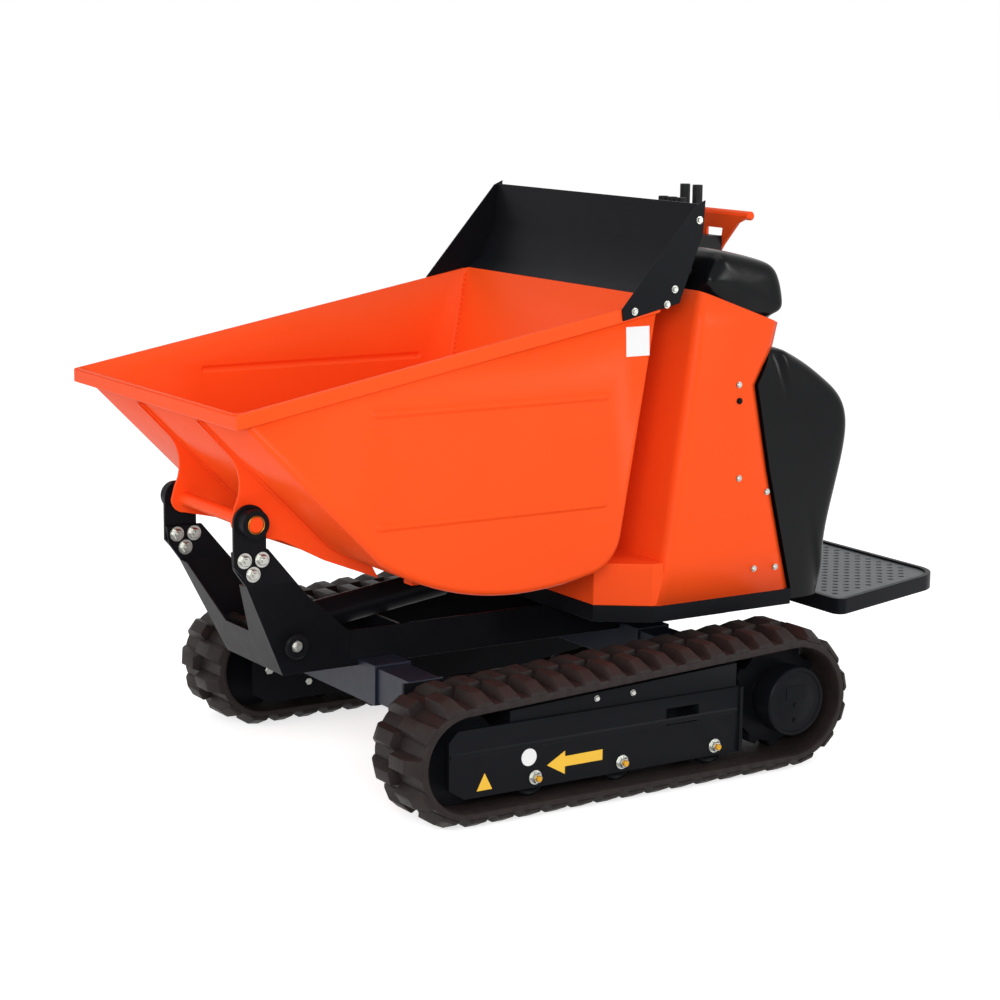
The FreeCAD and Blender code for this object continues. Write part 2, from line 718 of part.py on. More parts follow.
# rear edge of the side panels, upward
rear_edge = [(-369, s.deck_high), (-305, raised(598)), (-268, raised(775)), (-311, raised(854))]
hood_rear_low = (-322, raised(898))
for side_name, side in SIDES:
    low, high = sided(side, body_inside, s.body_half)
    name = "body_side_" + side_name
    nodes[name] = body(
        name, "XZ",
        [(BODY_FRONT_LOW_X, s.deck_high), bend_low, bend_high, hood_rear_low] + rear_edge[::-1],
        low, high)

hood_fall = (bend_high[1] - hood_rear_low[1]) / (bend_high[0] - hood_rear_low[0])
front_sheet = body(
    "front_sheet", "XZ",
    [bend_low, bend_high,
     (bend_high[0] - s.sheet_thick, bend_high[1] - s.sheet_thick * hood_fall),
     (bend_low[0] - s.sheet_thick, bend_low[1])],
    -body_inside, body_inside)
nose = body(
    "nose", "XY",
    [(bend_low[0] - s.sheet_thick, -body_inside), (BODY_FRONT_LOW_X, -body_inside),
     (s.nose_front_x, -s.nose_half), (s.nose_front_x, s.nose_half),
     (BODY_FRONT_LOW_X, body_inside), (bend_low[0] - s.sheet_thick, body_inside)],
    s.deck_high, s.nose_high)
nose_hollow = body(
    "nose_hollow", "XY",
    [(-60, -(body_inside - s.sheet_thick)),
     (BODY_FRONT_LOW_X, -(body_inside - s.sheet_thick)),
     (s.nose_front_x - s.sheet_thick, -(s.nose_half - 2)),
     (s.nose_front_x - s.sheet_thick, s.nose_half - 2),
     (BODY_FRONT_LOW_X, body_inside - s.sheet_thick),
     (-60, body_inside - s.sheet_thick)],
    s.deck_high, s.nose_high - s.sheet_thick)
nodes["body_front"] = fuse("body_front", [front_sheet, cut("nose_shell", nose, [nose_hollow])])

# moulded pieces: a side profile across the machine, with round long edges


def moulding(outline, half, radius, sharp):
    """A block from its side profile; every long edge but the sharp ones is rounded.

    sharp: numbers of the outline's lines, from their first point, that stay sharp."""
    points = [vector(x, -half, z) for x, z in outline]
    block = flat_face(points).extrude(vector(0, 2 * half, 0))
    lines = [(points[i], points[(i + 1) % len(points)]) for i in range(len(points))]
    kept = [(a + b) / 2 for i, (a, b) in enumerate(lines) if i not in sharp]
    edges = []
    for edge in block.Edges:
        middle = edge.CenterOfMass
        flat = FreeCAD.Vector(middle.x, -as_size(half).value, middle.z)
        if edge.BoundBox.YLength < 1e-6 and min((flat - spot).Length for spot in kept) < 1e-3:
            edges.append(edge)
    return block.makeFillet(radius, edges)


hood_front_top = (-162, raised(1053))
hood_mid_top = (-250, raised(1038))
hood_rear_top = (-328, raised(1015))
hood_rear_mid = (-348, raised(941))
HOOD_ROUND = 44
hood_outline = [bend_high, hood_front_top, hood_mid_top, hood_rear_top, hood_rear_mid,
                hood_rear_low]
nodes["hood"] = made("hood", moulding(hood_outline, s.body_half, HOOD_ROUND, sharp=(4, 5)))

# moulded rear cover: a bulged shell, open to the front
COVER_ROUND = 42
cover_front = [(-369, COVER_LOW)] + rear_edge
cover_rear = [(-414, raised(813)), (-510, raised(742)), (-532, raised(674)),
              (-505, raised(560)), (-466, raised(426)), (-462, COVER_LOW)]
# the room inside keeps the wall clear of each outside line
room_front = [(-360, COVER_LOW + s.cover_wall), (-360, s.deck_high), (-300, raised(598)),
              (-262, raised(775)), (-309, raised(847))]
room_rear = [(-412, raised(806)), (-504, raised(738)), (-526, raised(674)),
             (-500, raised(562)), (-461, raised(427)), (-457, COVER_LOW + s.cover_wall)]
cover_sharp = (0, 1, 2, 3, 10)
cover_solid = made("rear_cover_outside", moulding(cover_front + cover_rear, s.body_half,
                                                  COVER_ROUND, cover_sharp))
cover_room = made("rear_cover_inside", moulding(room_front + room_rear,
                                                s.body_half - s.cover_wall,
                                                COVER_ROUND - s.cover_wall.value, cover_sharp))
nodes["rear_cover"] = cut("rear_cover", cover_solid, [cover_room])

engine_front_x = as_size(-112)
nodes["engine_block"] = box(
    "engine_block", (engine_front_x - s.engine_long, engine_front_x),
    (-s.engine_wide / 2, s.engine_wide / 2),
    (s.frame_high + s.deck_floor, s.frame_high + s.deck_floor + s.engine_high))

hood_knobs = []
for side_name, side in SIDES:
    hood_knobs.append(prism("hood_knob_" + side_name, (-158, side * as_size(296), raised(1000)), 13, 24,
                            "x", AXLE_SIDES))
nodes["hood_knobs"] = cut("hood_knobs", group("hood_knob_pair", hood_knobs), [nodes["hood"]])


# Lever console, levers and hand hold

CONSOLE_HALF = 62
CONSOLE_STEP_X = -290
console_drop = s.console_top - 4
nodes["control_console"] = body(
    "control_console", "XZ",
    [(s.console_rear_x, hood_rear_mid[1]), hood_rear_mid, hood_rear_top, hood_mid_top,
     (hood_mid_top[0], console_drop), (CONSOLE_STEP_X, s.console_top),
     (s.console_rear_x, s.console_top)],
    -CONSOLE_HALF, CONSOLE_HALF)

# levers: distance forward, places across, stem radius, stem length, grip radius, grip length
LEVERS = (
    ("work", -300, (-16, 16, 48), 5, 62, 11, 26),
    ("travel", -361, (-22, 22), 6, 60, 11, 52),
)
GRIP_LAP = 6
for kind, x, places, stem_radius, stem_long, grip_radius, grip_long in LEVERS:
    levers = []
    for number, y in enumerate(places):
        stem = prism("%s_stem%d" % (kind, number), (x, y, s.console_top), stem_radius, stem_long,
                     "z", AXLE_SIDES)
        grip = prism("%s_grip%d" % (kind, number), (x, y, s.console_top + (stem_long - GRIP_LAP)),
                     grip_radius, grip_long, "z", 2 * AXLE_SIDES)
        levers.append(fuse("%s_lever%d" % (kind, number), [stem, grip]))
    nodes[kind + "_levers"] = group(kind + "_levers", levers)

# hand hold: half width and height over the console, upward on one side
HANDLE_EDGE = [(50, -38), (68, -17), (115, 30), (145, 45), (145, 55)]
HANDLE_THICK = 6
HANDLE_LIP = 24
hand_low = [(-half, s.console_top + rise) for half, rise in HANDLE_EDGE]
hand_high = [(half, s.console_top + rise) for half, rise in HANDLE_EDGE[::-1]]
hand_plate = body("hand_plate", "YZ", hand_low + hand_high,
                  s.console_rear_x - HANDLE_THICK, s.console_rear_x)
hand_half, hand_rise = HANDLE_EDGE[-1]
hand_lip = box("hand_lip", (s.console_rear_x - HANDLE_LIP, s.console_rear_x),
               (-hand_half, hand_half),
               (s.console_top + (hand_rise - HANDLE_THICK), s.console_top + hand_rise + 2))
nodes["handle"] = fuse("handle", [hand_plate, hand_lip])


# Folding operator's platform

platform_taper = (s.platform_half - s.platform_rear_half) / (s.platform_front_x - s.platform_rear_x)
side_stretch = (platform_taper * platform_taper + 1).root()
PLATE_DROP = 5
PLATE_THICK = 4


def platform_body(name, inset, low, high):
    """The tapered platform outline moved in by inset, padded between two heights."""
    front_half = s.platform_half - inset * (side_stretch + platform_taper)
    rear_half = s.platform_rear_half - inset * (side_stretch - platform_taper)
    front_x = s.platform_front_x - inset
    rear_x = s.platform_rear_x + inset
    return body(
        name, "XY",
        [(front_x, -front_half), (front_x, front_half), (rear_x, rear_half), (rear_x, -rear_half)],
        low, high,
        rounds=[(0, PLATFORM_FRONT_ROUND - inset), (1, PLATFORM_FRONT_ROUND - inset),
                (2, s.platform_round - inset), (3, s.platform_round - inset)])


PLATFORM_FRONT_ROUND = 20
rim_low = s.platform_top - s.platform_rim_high
platform_outside = platform_body("platform_outside", as_size(0), rim_low, s.platform_top)
platform_inside = platform_body("platform_inside", s.platform_rim_wide, rim_low, s.platform_top)
platform_ring = cut("platform_ring", platform_outside, [platform_inside])
nodes["platform_plate"] = platform_body(
    "platform_plate", s.platform_rim_wide,
    s.platform_top - PLATE_DROP - PLATE_THICK, s.platform_top - PLATE_DROP)

LUG_Y = 104
LUG_THICK = 8
LUG_HALF = 13
EYE_ROUND = 15
platform_pin = as_size(8)
lugs = []
for side_name, side in SIDES:
    low, high = sided(side, LUG_Y, LUG_Y + LUG_THICK)
    eye = rod("lug_eye_" + side_name, (s.platform_hinge_x, low, s.platform_hinge_z), EYE_ROUND,
              high - as_size(low), "y")
    arm = box("lug_arm_" + side_name, (s.platform_front_x - 1, s.platform_hinge_x), (low, high),
              (s.platform_hinge_z - LUG_HALF, s.platform_hinge_z + LUG_HALF))
    bore = rod("lug_bore_" + side_name, (s.platform_hinge_x, low, s.platform_hinge_z),
               platform_pin + s.pin_fit, high - as_size(low), "y")
    lug = fuse("lug_" + side_name, [eye, arm])
    lugs.append(cut("platform_lug_" + side_name, lug, [bore]))
nodes["platform_rim"] = fuse("platform_rim", [platform_ring] + lugs)

arms = []
for side_name, side in SIDES:
    low, high = sided(side, LUG_Y - 10, LUG_Y - 2)
    arm = body(
        "platform_arm_" + side_name, "XZ",
        [(s.frame_rear_x, 250), (s.frame_rear_x, 304), (s.platform_hinge_x, s.platform_hinge_z + 15),
         (s.platform_hinge_x, s.platform_hinge_z - 15)],
        low, high)
    eye = rod("platform_eye_" + side_name, (s.platform_hinge_x, low, s.platform_hinge_z), 15,
              high - as_size(low), "y")
    low, high = sided(side, LUG_Y - 10, LUG_Y + LUG_THICK + 6)
    pin = rod("platform_pin_" + side_name, (s.platform_hinge_x, low, s.platform_hinge_z),
              platform_pin, high - as_size(low), "y")
    arms.append(fuse("platform_arm_pin_" + side_name, [arm, eye, pin]))
nodes["platform_bracket"] = group("platform_bracket", arms)


# Skip

rim_rise = math.tan(math.radians(s.rim_slope.value))
OVER_RIM = 200
REAR_WALL_LONG = 560
REAR_FOOT_ROUND = 90


def rim_z(x):
    """Height of the rim's top at a distance forward."""
    return s.rim_front_z.value + (s.rim_front_x.value - x) * rim_rise


def skip_profile(inset):
    """The skip's side profile as one face, its walls moved in by inset.

    A straight front wall, the floor as two arcs that meet at its lowest point, a straight
    rear wall. The walls run on past the rim, where the rim plane cuts them."""
    low = vector(s.belly_x, 0, s.belly_low_z)
    foot = vector(s.wall_foot_x, 0, s.wall_foot_z)
    run, rise = foot.x - low.x, foot.z - low.z
    front_radius = (run ** 2 + rise ** 2) / (2 * rise)

    def arc_point(radius, x):
        """A point of an arc over the lowest point, moved in by inset."""
        share = math.asin((x - low.x) / radius)
        inner = radius - inset
        return FreeCAD.Vector(low.x + inner * math.sin(share), 0,
                              low.z + radius - inner * math.cos(share))

    def line(start, end):
        """A line's two ends moved in by inset, to the left of its direction."""
        along = (end - start).normalize()
        left = FreeCAD.Vector(-along.z, 0, along.x)
        return start + left * inset, end + left * inset

    def crossing(first, radius):
        """Where a line meets an arc over the lowest point, on the line's lower side."""
        start, end = first
        centre = FreeCAD.Vector(low.x, 0, low.z + radius)
        along = (end - start).normalize()
        near = start + along * (centre - start).dot(along)
        reach = math.sqrt((radius - inset) ** 2 - (centre - near).Length ** 2)
        return min((near + along * reach, near - along * reach), key=lambda point: point.z)

    rim_front = vector(s.rim_front_x, 0, s.rim_front_z)
    wall = (rim_front - foot).normalize()
    front_line = line(foot, rim_front + wall * OVER_RIM)
    rear_top_z = rim_z(s.rear_top_x.value)
    lean = FreeCAD.Vector(-s.rear_lean.value, 0, 1)
    rear_top = FreeCAD.Vector(s.rear_top_x.value, 0, rear_top_z)
    rear_line = line(rear_top + lean * OVER_RIM, rear_top - lean * REAR_WALL_LONG)
    front_foot = crossing(front_line, front_radius)
    rear_foot = crossing(rear_line, s.belly_rear_radius.value)
    bottom = arc_point(front_radius, low.x)
    front_middle = arc_point(front_radius, (low.x + foot.x) / 2)
    rear_middle = arc_point(s.belly_rear_radius.value, (low.x + rear_foot.x) / 2)
    edges = [
        Part.LineSegment(front_line[1], front_foot).toShape(),
        Part.Arc(front_foot, front_middle, bottom).toShape(),
        Part.Arc(bottom, rear_middle, rear_foot).toShape(),
        Part.LineSegment(rear_foot, rear_line[0]).toShape(),
        Part.LineSegment(rear_line[0], front_line[1]).toShape(),
    ]
    return Part.Face(Part.Wire(edges))


def skip_block(inset, half):
    """The skip as a full block up to well above its rim, with its rear foot rounded."""
    face = skip_profile(inset)
    face.translate(FreeCAD.Vector(0, -half, 0))
    block = face.extrude(FreeCAD.Vector(0, 2 * half, 0))
    across = [edge for edge in block.Edges
              if edge.BoundBox.XLength < 1e-6 and edge.BoundBox.ZLength < 1e-6
              and edge.BoundBox.XMax < s.belly_x.value]
    foot = min(across, key=lambda edge: edge.BoundBox.ZMax)
    return block.makeFillet(REAR_FOOT_ROUND - inset, [foot])


half_outside = s.skip_half.value
half_inside = (s.skip_half - s.sheet_thick).value
wall = s.sheet_thick.value
outer_block = skip_block(0, half_outside)
inner_block = skip_block(wall, half_inside)
skip_rear_x = s.rear_top_x.value - OVER_RIM
skip_long = s.rim_front_x.value + OVER_RIM - skip_rear_x


def zone(x_low, x_high, y_low, y_high):
    """A block between bounds in X and Y that is taller than the skip."""
    return Part.makeBox(x_high - x_low, y_high - y_low, 2 * (s.rim_front_z.value + OVER_RIM),
                        FreeCAD.Vector(x_low, y_low, 0))


# everything over the rim plane
over = FreeCAD.Vector(skip_rear_x, -2 * half_outside, rim_z(skip_rear_x))
along_rim = FreeCAD.Vector(skip_long, 0, -skip_long * rim_rise)
across_rim = FreeCAD.Vector(0, 4 * half_outside, 0)
over_face = flat_face([over, over + along_rim, over + along_rim + across_rim, over + across_rim])
over_rim = over_face.extrude(FreeCAD.Vector(0, 0, 2 * s.rim_front_z.value))
shell = outer_block.cut(inner_block).cut(over_rim)
REAR_SPLIT_X = 120
middle_zone = zone(skip_rear_x, skip_rear_x + skip_long, -half_inside, half_inside)
rear_zone = zone(skip_rear_x, REAR_SPLIT_X, -2 * half_outside, 2 * half_outside)
for side_name, side in SIDES:
    y_low, y_high = sorted((side * half_inside, side * half_outside))
    side_zone = zone(skip_rear_x, skip_rear_x + skip_long, y_low, y_high)
    nodes["skip_side_" + side_name] = made("skip_side_" + side_name, shell.common(side_zone))
centre_shell = shell.common(middle_zone)
nodes["skip_rear"] = made("skip_rear", centre_shell.common(rear_zone).removeSplitter())
nodes["skip_floor"] = made("skip_floor", centre_shell.cut(rear_zone).removeSplitter())

# rim band along the sides, and the front lip
band_down = FreeCAD.Vector(0, 0, -s.rim_high.value)


def rim_strip(x_low, x_high, y_low, y_high):
    """A strip of the rim plane, given depth downward."""
    corners = [FreeCAD.Vector(x, y, rim_z(x)) for x, y in
               ((x_low, y_low), (x_high, y_low), (x_high, y_high), (x_low, y_high))]
    return flat_face(corners).extrude(band_down)


rim_half = (s.skip_half + s.rim_out).value
RIM_REAR_X = -20
strips = [rim_strip(RIM_REAR_X, s.rim_front_x.value, *sorted((side * half_outside, side * rim_half)))
          for side in (1, -1)]
lip = rim_strip(s.rim_front_x.value - s.lip_deep.value, s.rim_front_x.value, -rim_half, rim_half)
strips.append(lip.cut(inner_block).cut(outer_block))
nodes["skip_rim"] = made("skip_rim", strips[0].fuse(strips[1:]).removeSplitter())


# gusset outline: front edge from the lip down, then the edge under the floor, rearward
GUSSET_FRONT = [(868, 752), (799, 681), (780, 631), (790, 584)]
GUSSET_UNDER = [(690, 509), (600, 462), (480, 414)]
GUSSET_INSIDE = [(560, 560), (700, 740)]
LOBE_RADIUS = 28
TUBE_RADIUS = 13


def skip_gusset(side):
    """A plate from the front lip down to the pivot and on under the floor."""
    pivot = vector(s.hinge_x, 0, s.hinge_z)
    top, bend, waist, neck = [FreeCAD.Vector(x, 0, z) for x, z in GUSSET_FRONT]
    lobe_front = pivot + FreeCAD.Vector(LOBE_RADIUS, 0, 0)
    lobe_low = pivot - FreeCAD.Vector(0, 0, LOBE_RADIUS)
    lobe_middle = pivot + FreeCAD.Vector(1, 0, -1) * (LOBE_RADIUS / math.sqrt(2))
    outline = [
        Part.LineSegment(top, bend).toShape(),
        Part.Arc(bend, waist, neck).toShape(),
        Part.LineSegment(neck, lobe_front).toShape(),
        Part.Arc(lobe_front, lobe_middle, lobe_low).toShape(),
    ]
    rest = [lobe_low] + [FreeCAD.Vector(x, 0, z) for x, z in GUSSET_UNDER + GUSSET_INSIDE] + [top]
    for start, end in zip(rest[:-1], rest[1:]):
        outline.append(Part.LineSegment(start, end).toShape())
    face = Part.Face(Part.Wire(outline))
    low, high = sided(side, s.gusset_y - s.gusset_thick, s.gusset_y)
    face.translate(vector(0, low, 0))
    plate = face.extrude(vector(0, s.gusset_thick, 0))
    start_y = s.gusset_y.value if side > 0 else -(s.boss_end_y.value)
    pin = Part.makeCylinder(s.hinge_pin.value, (s.boss_end_y - s.gusset_y).value,
                            FreeCAD.Vector(s.hinge_x.value, start_y, s.hinge_z.value),
                            FreeCAD.Vector(0, 1, 0))
    return plate.cut(outer_block).fuse(pin)


cross_tube = Part.makeCylinder(TUBE_RADIUS, 2 * (s.gusset_y - s.gusset_thick).value,
                               vector(s.hinge_x, -(s.gusset_y - s.gusset_thick), s.hinge_z),
                               FreeCAD.Vector(0, 1, 0))
hinge_frame = skip_gusset(1).fuse([skip_gusset(-1), cross_tube])
nodes["skip_hinge"] = made("skip_hinge", hinge_frame.removeSplitter())

# rails under the floor and the two ears for the cylinder's rod
EAR_LOW = 20
EAR_THICK = 8
EAR_HALF = 35
EAR_DROP = 24
RAIL_SPAN = (215, 400)
RAIL_ACROSS = (96, 126)
RAIL_LOW_Z = 388
rail_shapes = []
for side in (1, -1):
    low, high = sided(side, *RAIL_ACROSS)
    rail = Part.makeBox(RAIL_SPAN[1] - RAIL_SPAN[0], RAIL_ACROSS[1] - RAIL_ACROSS[0],
                        2 * (s.belly_low_z.value - RAIL_LOW_Z),
                        vector(RAIL_SPAN[0], low, RAIL_LOW_Z))
    low, high = sided(side, EAR_LOW, EAR_LOW + EAR_THICK)
    ear = Part.makeBox(2 * EAR_HALF, EAR_THICK, 4 * EAR_DROP,
                       vector(s.rod_eye_x - EAR_HALF, low, s.rod_eye_z - EAR_DROP))
    rail_shapes += [rail.cut(outer_block), ear.cut(outer_block)]
nodes["skip_rails"] = made("skip_rails", Part.makeCompound(rail_shapes))

# guard over the rear wall
guard_plates = []
guard_outside = s.skip_half + s.rim_out + s.guard_sheet
for side_name, side in SIDES:
    low, high = sided(side, s.skip_half + s.rim_out, guard_outside)
    guard_plates.append(body(
        "guard_plate_" + side_name, "XZ",
        [(72, 922), (75, 945), (-98, 1141), (-119, 1150), (-114, 1082), (-67, 966), (-62, 951)],
        low, high))
nodes["guard_sides"] = group("guard_sides", guard_plates)
guard_low_z = rim_z(s.rear_top_x.value)
nodes["guard_panel"] = body(
    "guard_panel", "XZ",
    [(s.rear_top_x, guard_low_z), (-60, 985), (-97, 1060), (-105, 1143),
     (-109, 1143), (-101, 1059), (-64, 982), (s.rear_top_x - 4, guard_low_z - 2)],
    -(s.skip_half + s.rim_out), s.skip_half + s.rim_out)


# Tipping cylinder, drawn along X from its base pin and then turned to its place

reach = vector(s.rod_eye_x, 0, s.rod_eye_z) - vector(s.base_pin_x, 0, s.base_pin_z)
closed_length = reach.Length
turn = math.degrees(math.atan2(-reach.z, reach.x))
cylinder_place = FreeCAD.Placement(vector(s.base_pin_x, 0, s.base_pin_z),
                                   FreeCAD.Rotation(FreeCAD.Vector(0, 1, 0), turn))
GLAND_LONG = 20
EYE_RADIUS = 24
ROD_SHOWS = 48
barrel_long = closed_length - EYE_RADIUS - ROD_SHOWS
barrel_wall = fuse("barrel_outside", [
    rod("barrel_tube", (20, 0, 0), s.barrel_radius, barrel_long - 20, "x"),
    rod("barrel_eye", (0, -25, 0), EYE_RADIUS, 50, "y")])
barrel = cut("cylinder_barrel", barrel_wall, [
    rod("barrel_bore", (40, 0, 0), s.bore_radius, barrel_long - GLAND_LONG - 40, "x"),
    rod("gland_bore", (60, 0, 0), s.rod_radius + s.pin_fit, barrel_long, "x"),
    rod("base_eye_bore", (0, -26, 0), s.eye_pin + s.pin_fit, 52, "y")])
barrel.Placement = cylinder_place
nodes["cylinder_barrel"] = barrel
PISTON_START = 44
PISTON_LONG = 16
piston_rod = fuse("cylinder_rod", [
    rod("piston", (PISTON_START, 0, 0), s.bore_radius - s.pin_fit, PISTON_LONG, "x"),
    rod("rod_bar", (PISTON_START + PISTON_LONG, 0, 0), s.rod_radius,
        closed_length - PISTON_START - PISTON_LONG - 10, "x"),
    rod("rod_eye", (closed_length, -15, 0), 22, 30, "y")])
piston_rod.Placement = cylinder_place
nodes["cylinder_rod"] = piston_rod


# Check and write

doc.recompute()
for thing in doc.Objects:
    if "Invalid" in thing.State or "Error" in thing.State:
        raise RuntimeError("not computed: " + thing.Name)
os.makedirs("parts", exist_ok=True)
for name, thing in nodes.items():
    thing.Label = name
    if thing.Shape.isNull() or not thing.Shape.isValid():
        raise RuntimeError("bad shape: " + name)
    if not thing.Shape.Solids:
        raise RuntimeError("no solid: " + name)
    thing.Shape.exportStep("parts/%s.step" % name)
print(len(nodes), "nodes written")
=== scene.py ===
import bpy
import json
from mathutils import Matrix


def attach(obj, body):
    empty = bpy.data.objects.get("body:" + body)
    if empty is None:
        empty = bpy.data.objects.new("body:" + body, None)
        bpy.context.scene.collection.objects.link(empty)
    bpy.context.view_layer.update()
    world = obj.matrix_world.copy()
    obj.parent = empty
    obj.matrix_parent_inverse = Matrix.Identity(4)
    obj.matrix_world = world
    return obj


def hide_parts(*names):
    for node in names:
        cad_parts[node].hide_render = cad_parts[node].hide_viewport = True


bl_info = {
    "name": "Crawler carrier dressing",
    "version": (1, 0, 0),
    "blender": (4, 5, 0),
    "location": "3D View > Sidebar > Carrier",
    "description": "Finishes a tracked mini dumper with paint, rubber, fasteners and weld beads",
    "category": "Object",
}

import json
import math

import bmesh
import bpy
from mathutils import Matrix, Vector

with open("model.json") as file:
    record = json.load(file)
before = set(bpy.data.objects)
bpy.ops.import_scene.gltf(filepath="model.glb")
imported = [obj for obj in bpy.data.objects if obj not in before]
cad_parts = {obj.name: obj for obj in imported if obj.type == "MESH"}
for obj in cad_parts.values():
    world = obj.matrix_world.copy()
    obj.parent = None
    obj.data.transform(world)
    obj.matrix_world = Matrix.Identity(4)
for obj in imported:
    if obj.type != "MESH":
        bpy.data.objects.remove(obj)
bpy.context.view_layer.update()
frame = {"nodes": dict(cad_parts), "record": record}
MM = 0.001
SIDES = (("left", 1), ("right", -1))


# Colours and node helpers

def linear(hex_colour):
    """An sRGB hex colour as linear RGBA."""
    channels = [int(hex_colour[i:i + 2], 16) / 255 for i in (1, 3, 5)]
    return tuple(c / 12.92 if c <= 0.04045 else ((c + 0.055) / 1.055) ** 2.4
                 for c in channels) + (1.0,)


def per_mm(size):
    """The scale at which a pattern on coordinates in metres repeats every size millimetres."""
    return 1 / (size * MM)


def node(tree, kind, settings=None, links=None):
    """Adds a node, sets its properties or inputs, and links its inputs by name or number."""
    made = tree.nodes.new(kind)
    for key, value in (settings or {}).items():
        if isinstance(key, str) and hasattr(made, key):
            setattr(made, key, value)
        else:
            made.inputs[key].default_value = value
    for key, socket in (links or {}).items():
        tree.links.new(socket, made.inputs[key])
    return made


def finish(name, tones, blotch, rough, grain, relief, shader=None):
    """A finish that drifts between two tones and two roughnesses over a fine grain.

    blotch, grain and relief are in millimetres: cloud size, grain size and grain depth."""
    material = bpy.data.materials.new(name)
    material.use_nodes = True
    tree = material.node_tree
    tree.nodes.clear()
    output = node(tree, "ShaderNodeOutputMaterial")
    surface = node(tree, "ShaderNodeBsdfPrincipled", shader)
    at = node(tree, "ShaderNodeTexCoord").outputs["Object"]
    cloud = node(tree, "ShaderNodeTexNoise", {"Scale": per_mm(blotch), "Detail": 4.0},
                 {"Vector": at})
    tone = node(tree, "ShaderNodeMix",
                {"data_type": "RGBA", 6: linear(tones[0]), 7: linear(tones[1])},
                {0: cloud.outputs["Fac"]})
    haze = node(tree, "ShaderNodeTexNoise", {"Scale": per_mm(blotch / 4), "Detail": 4.0},
                {"Vector": at})
    gloss = node(tree, "ShaderNodeMapRange", {"To Min": rough[0], "To Max": rough[1]},
                 {"Value": haze.outputs["Fac"]})
    skin = node(tree, "ShaderNodeTexNoise", {"Scale": per_mm(grain), "Detail": 3.0},
                {"Vector": at})
    height = node(tree, "ShaderNodeBump", {"Strength": 1.0, "Distance": relief * MM},
                  {"Height": skin.outputs["Fac"]})
    tree.links.new(tone.outputs[2], surface.inputs["Base Color"])
    tree.links.new(gloss.outputs["Result"], surface.inputs["Roughness"])
    tree.links.new(height.outputs["Normal"], surface.inputs["Normal"])
    tree.links.new(surface.outputs["BSDF"], output.inputs["Surface"])
    return material


# Sizes and colours that a user would change

class CarrierPaint(bpy.types.PropertyGroup):
    """Colours of the machine's finishes, as sRGB hex."""

    orange: bpy.props.StringProperty(
        name="Orange", description="Baked paint of skip and body", default="#FA541F")
    black: bpy.props.StringProperty(
        name="Black", description="Satin paint of frames and guard", default="#101114")
    tube_blue: bpy.props.StringProperty(
        name="Blue black", description="Paint of the slide tubes and their sleeves",
        default="#1E2534")
    rubber: bpy.props.StringProperty(
        name="Rubber", description="Track rubber", default="#1C1817")
    moulded: bpy.props.StringProperty(
        name="Moulding", description="Glossy moulded hood and rear cover", default="#08090B")
    platform: bpy.props.StringProperty(
        name="Platform grey", description="Paint of the perforated platform plate",
        default="#3C3F41")
    film_yellow: bpy.props.StringProperty(
        name="Film yellow", description="Yellow film on the track frame", default="#F0BE2C")


class CarrierSizes(bpy.types.PropertyGroup):
    """Sizes of the finish in metres."""

    sheet_edge: bpy.props.FloatProperty(
        name="Sheet edge", description="Rounding of cut sheet metal", default=0.0009,
        unit="LENGTH")
    rim_edge: bpy.props.FloatProperty(
        name="Rim edge", description="Rounding of the skip's folded rim", default=0.0045,
        unit="LENGTH")
    skip_fold: bpy.props.FloatProperty(
        name="Skip fold", description="Radius where the skip's side bends into its floor",
        default=0.016, unit="LENGTH")
    body_bend: bpy.props.FloatProperty(
        name="Body bend", description="Radius of the body's upright front corners",
        default=0.022, unit="LENGTH")
    perforation: bpy.props.FloatProperty(
        name="Perforation", description="Diameter of the platform's holes", default=0.014,
        unit="LENGTH")
    weld_bead: bpy.props.FloatProperty(
        name="Weld bead", description="Radius of a weld bead's ripple", default=0.003,
        unit="LENGTH")


# Materials

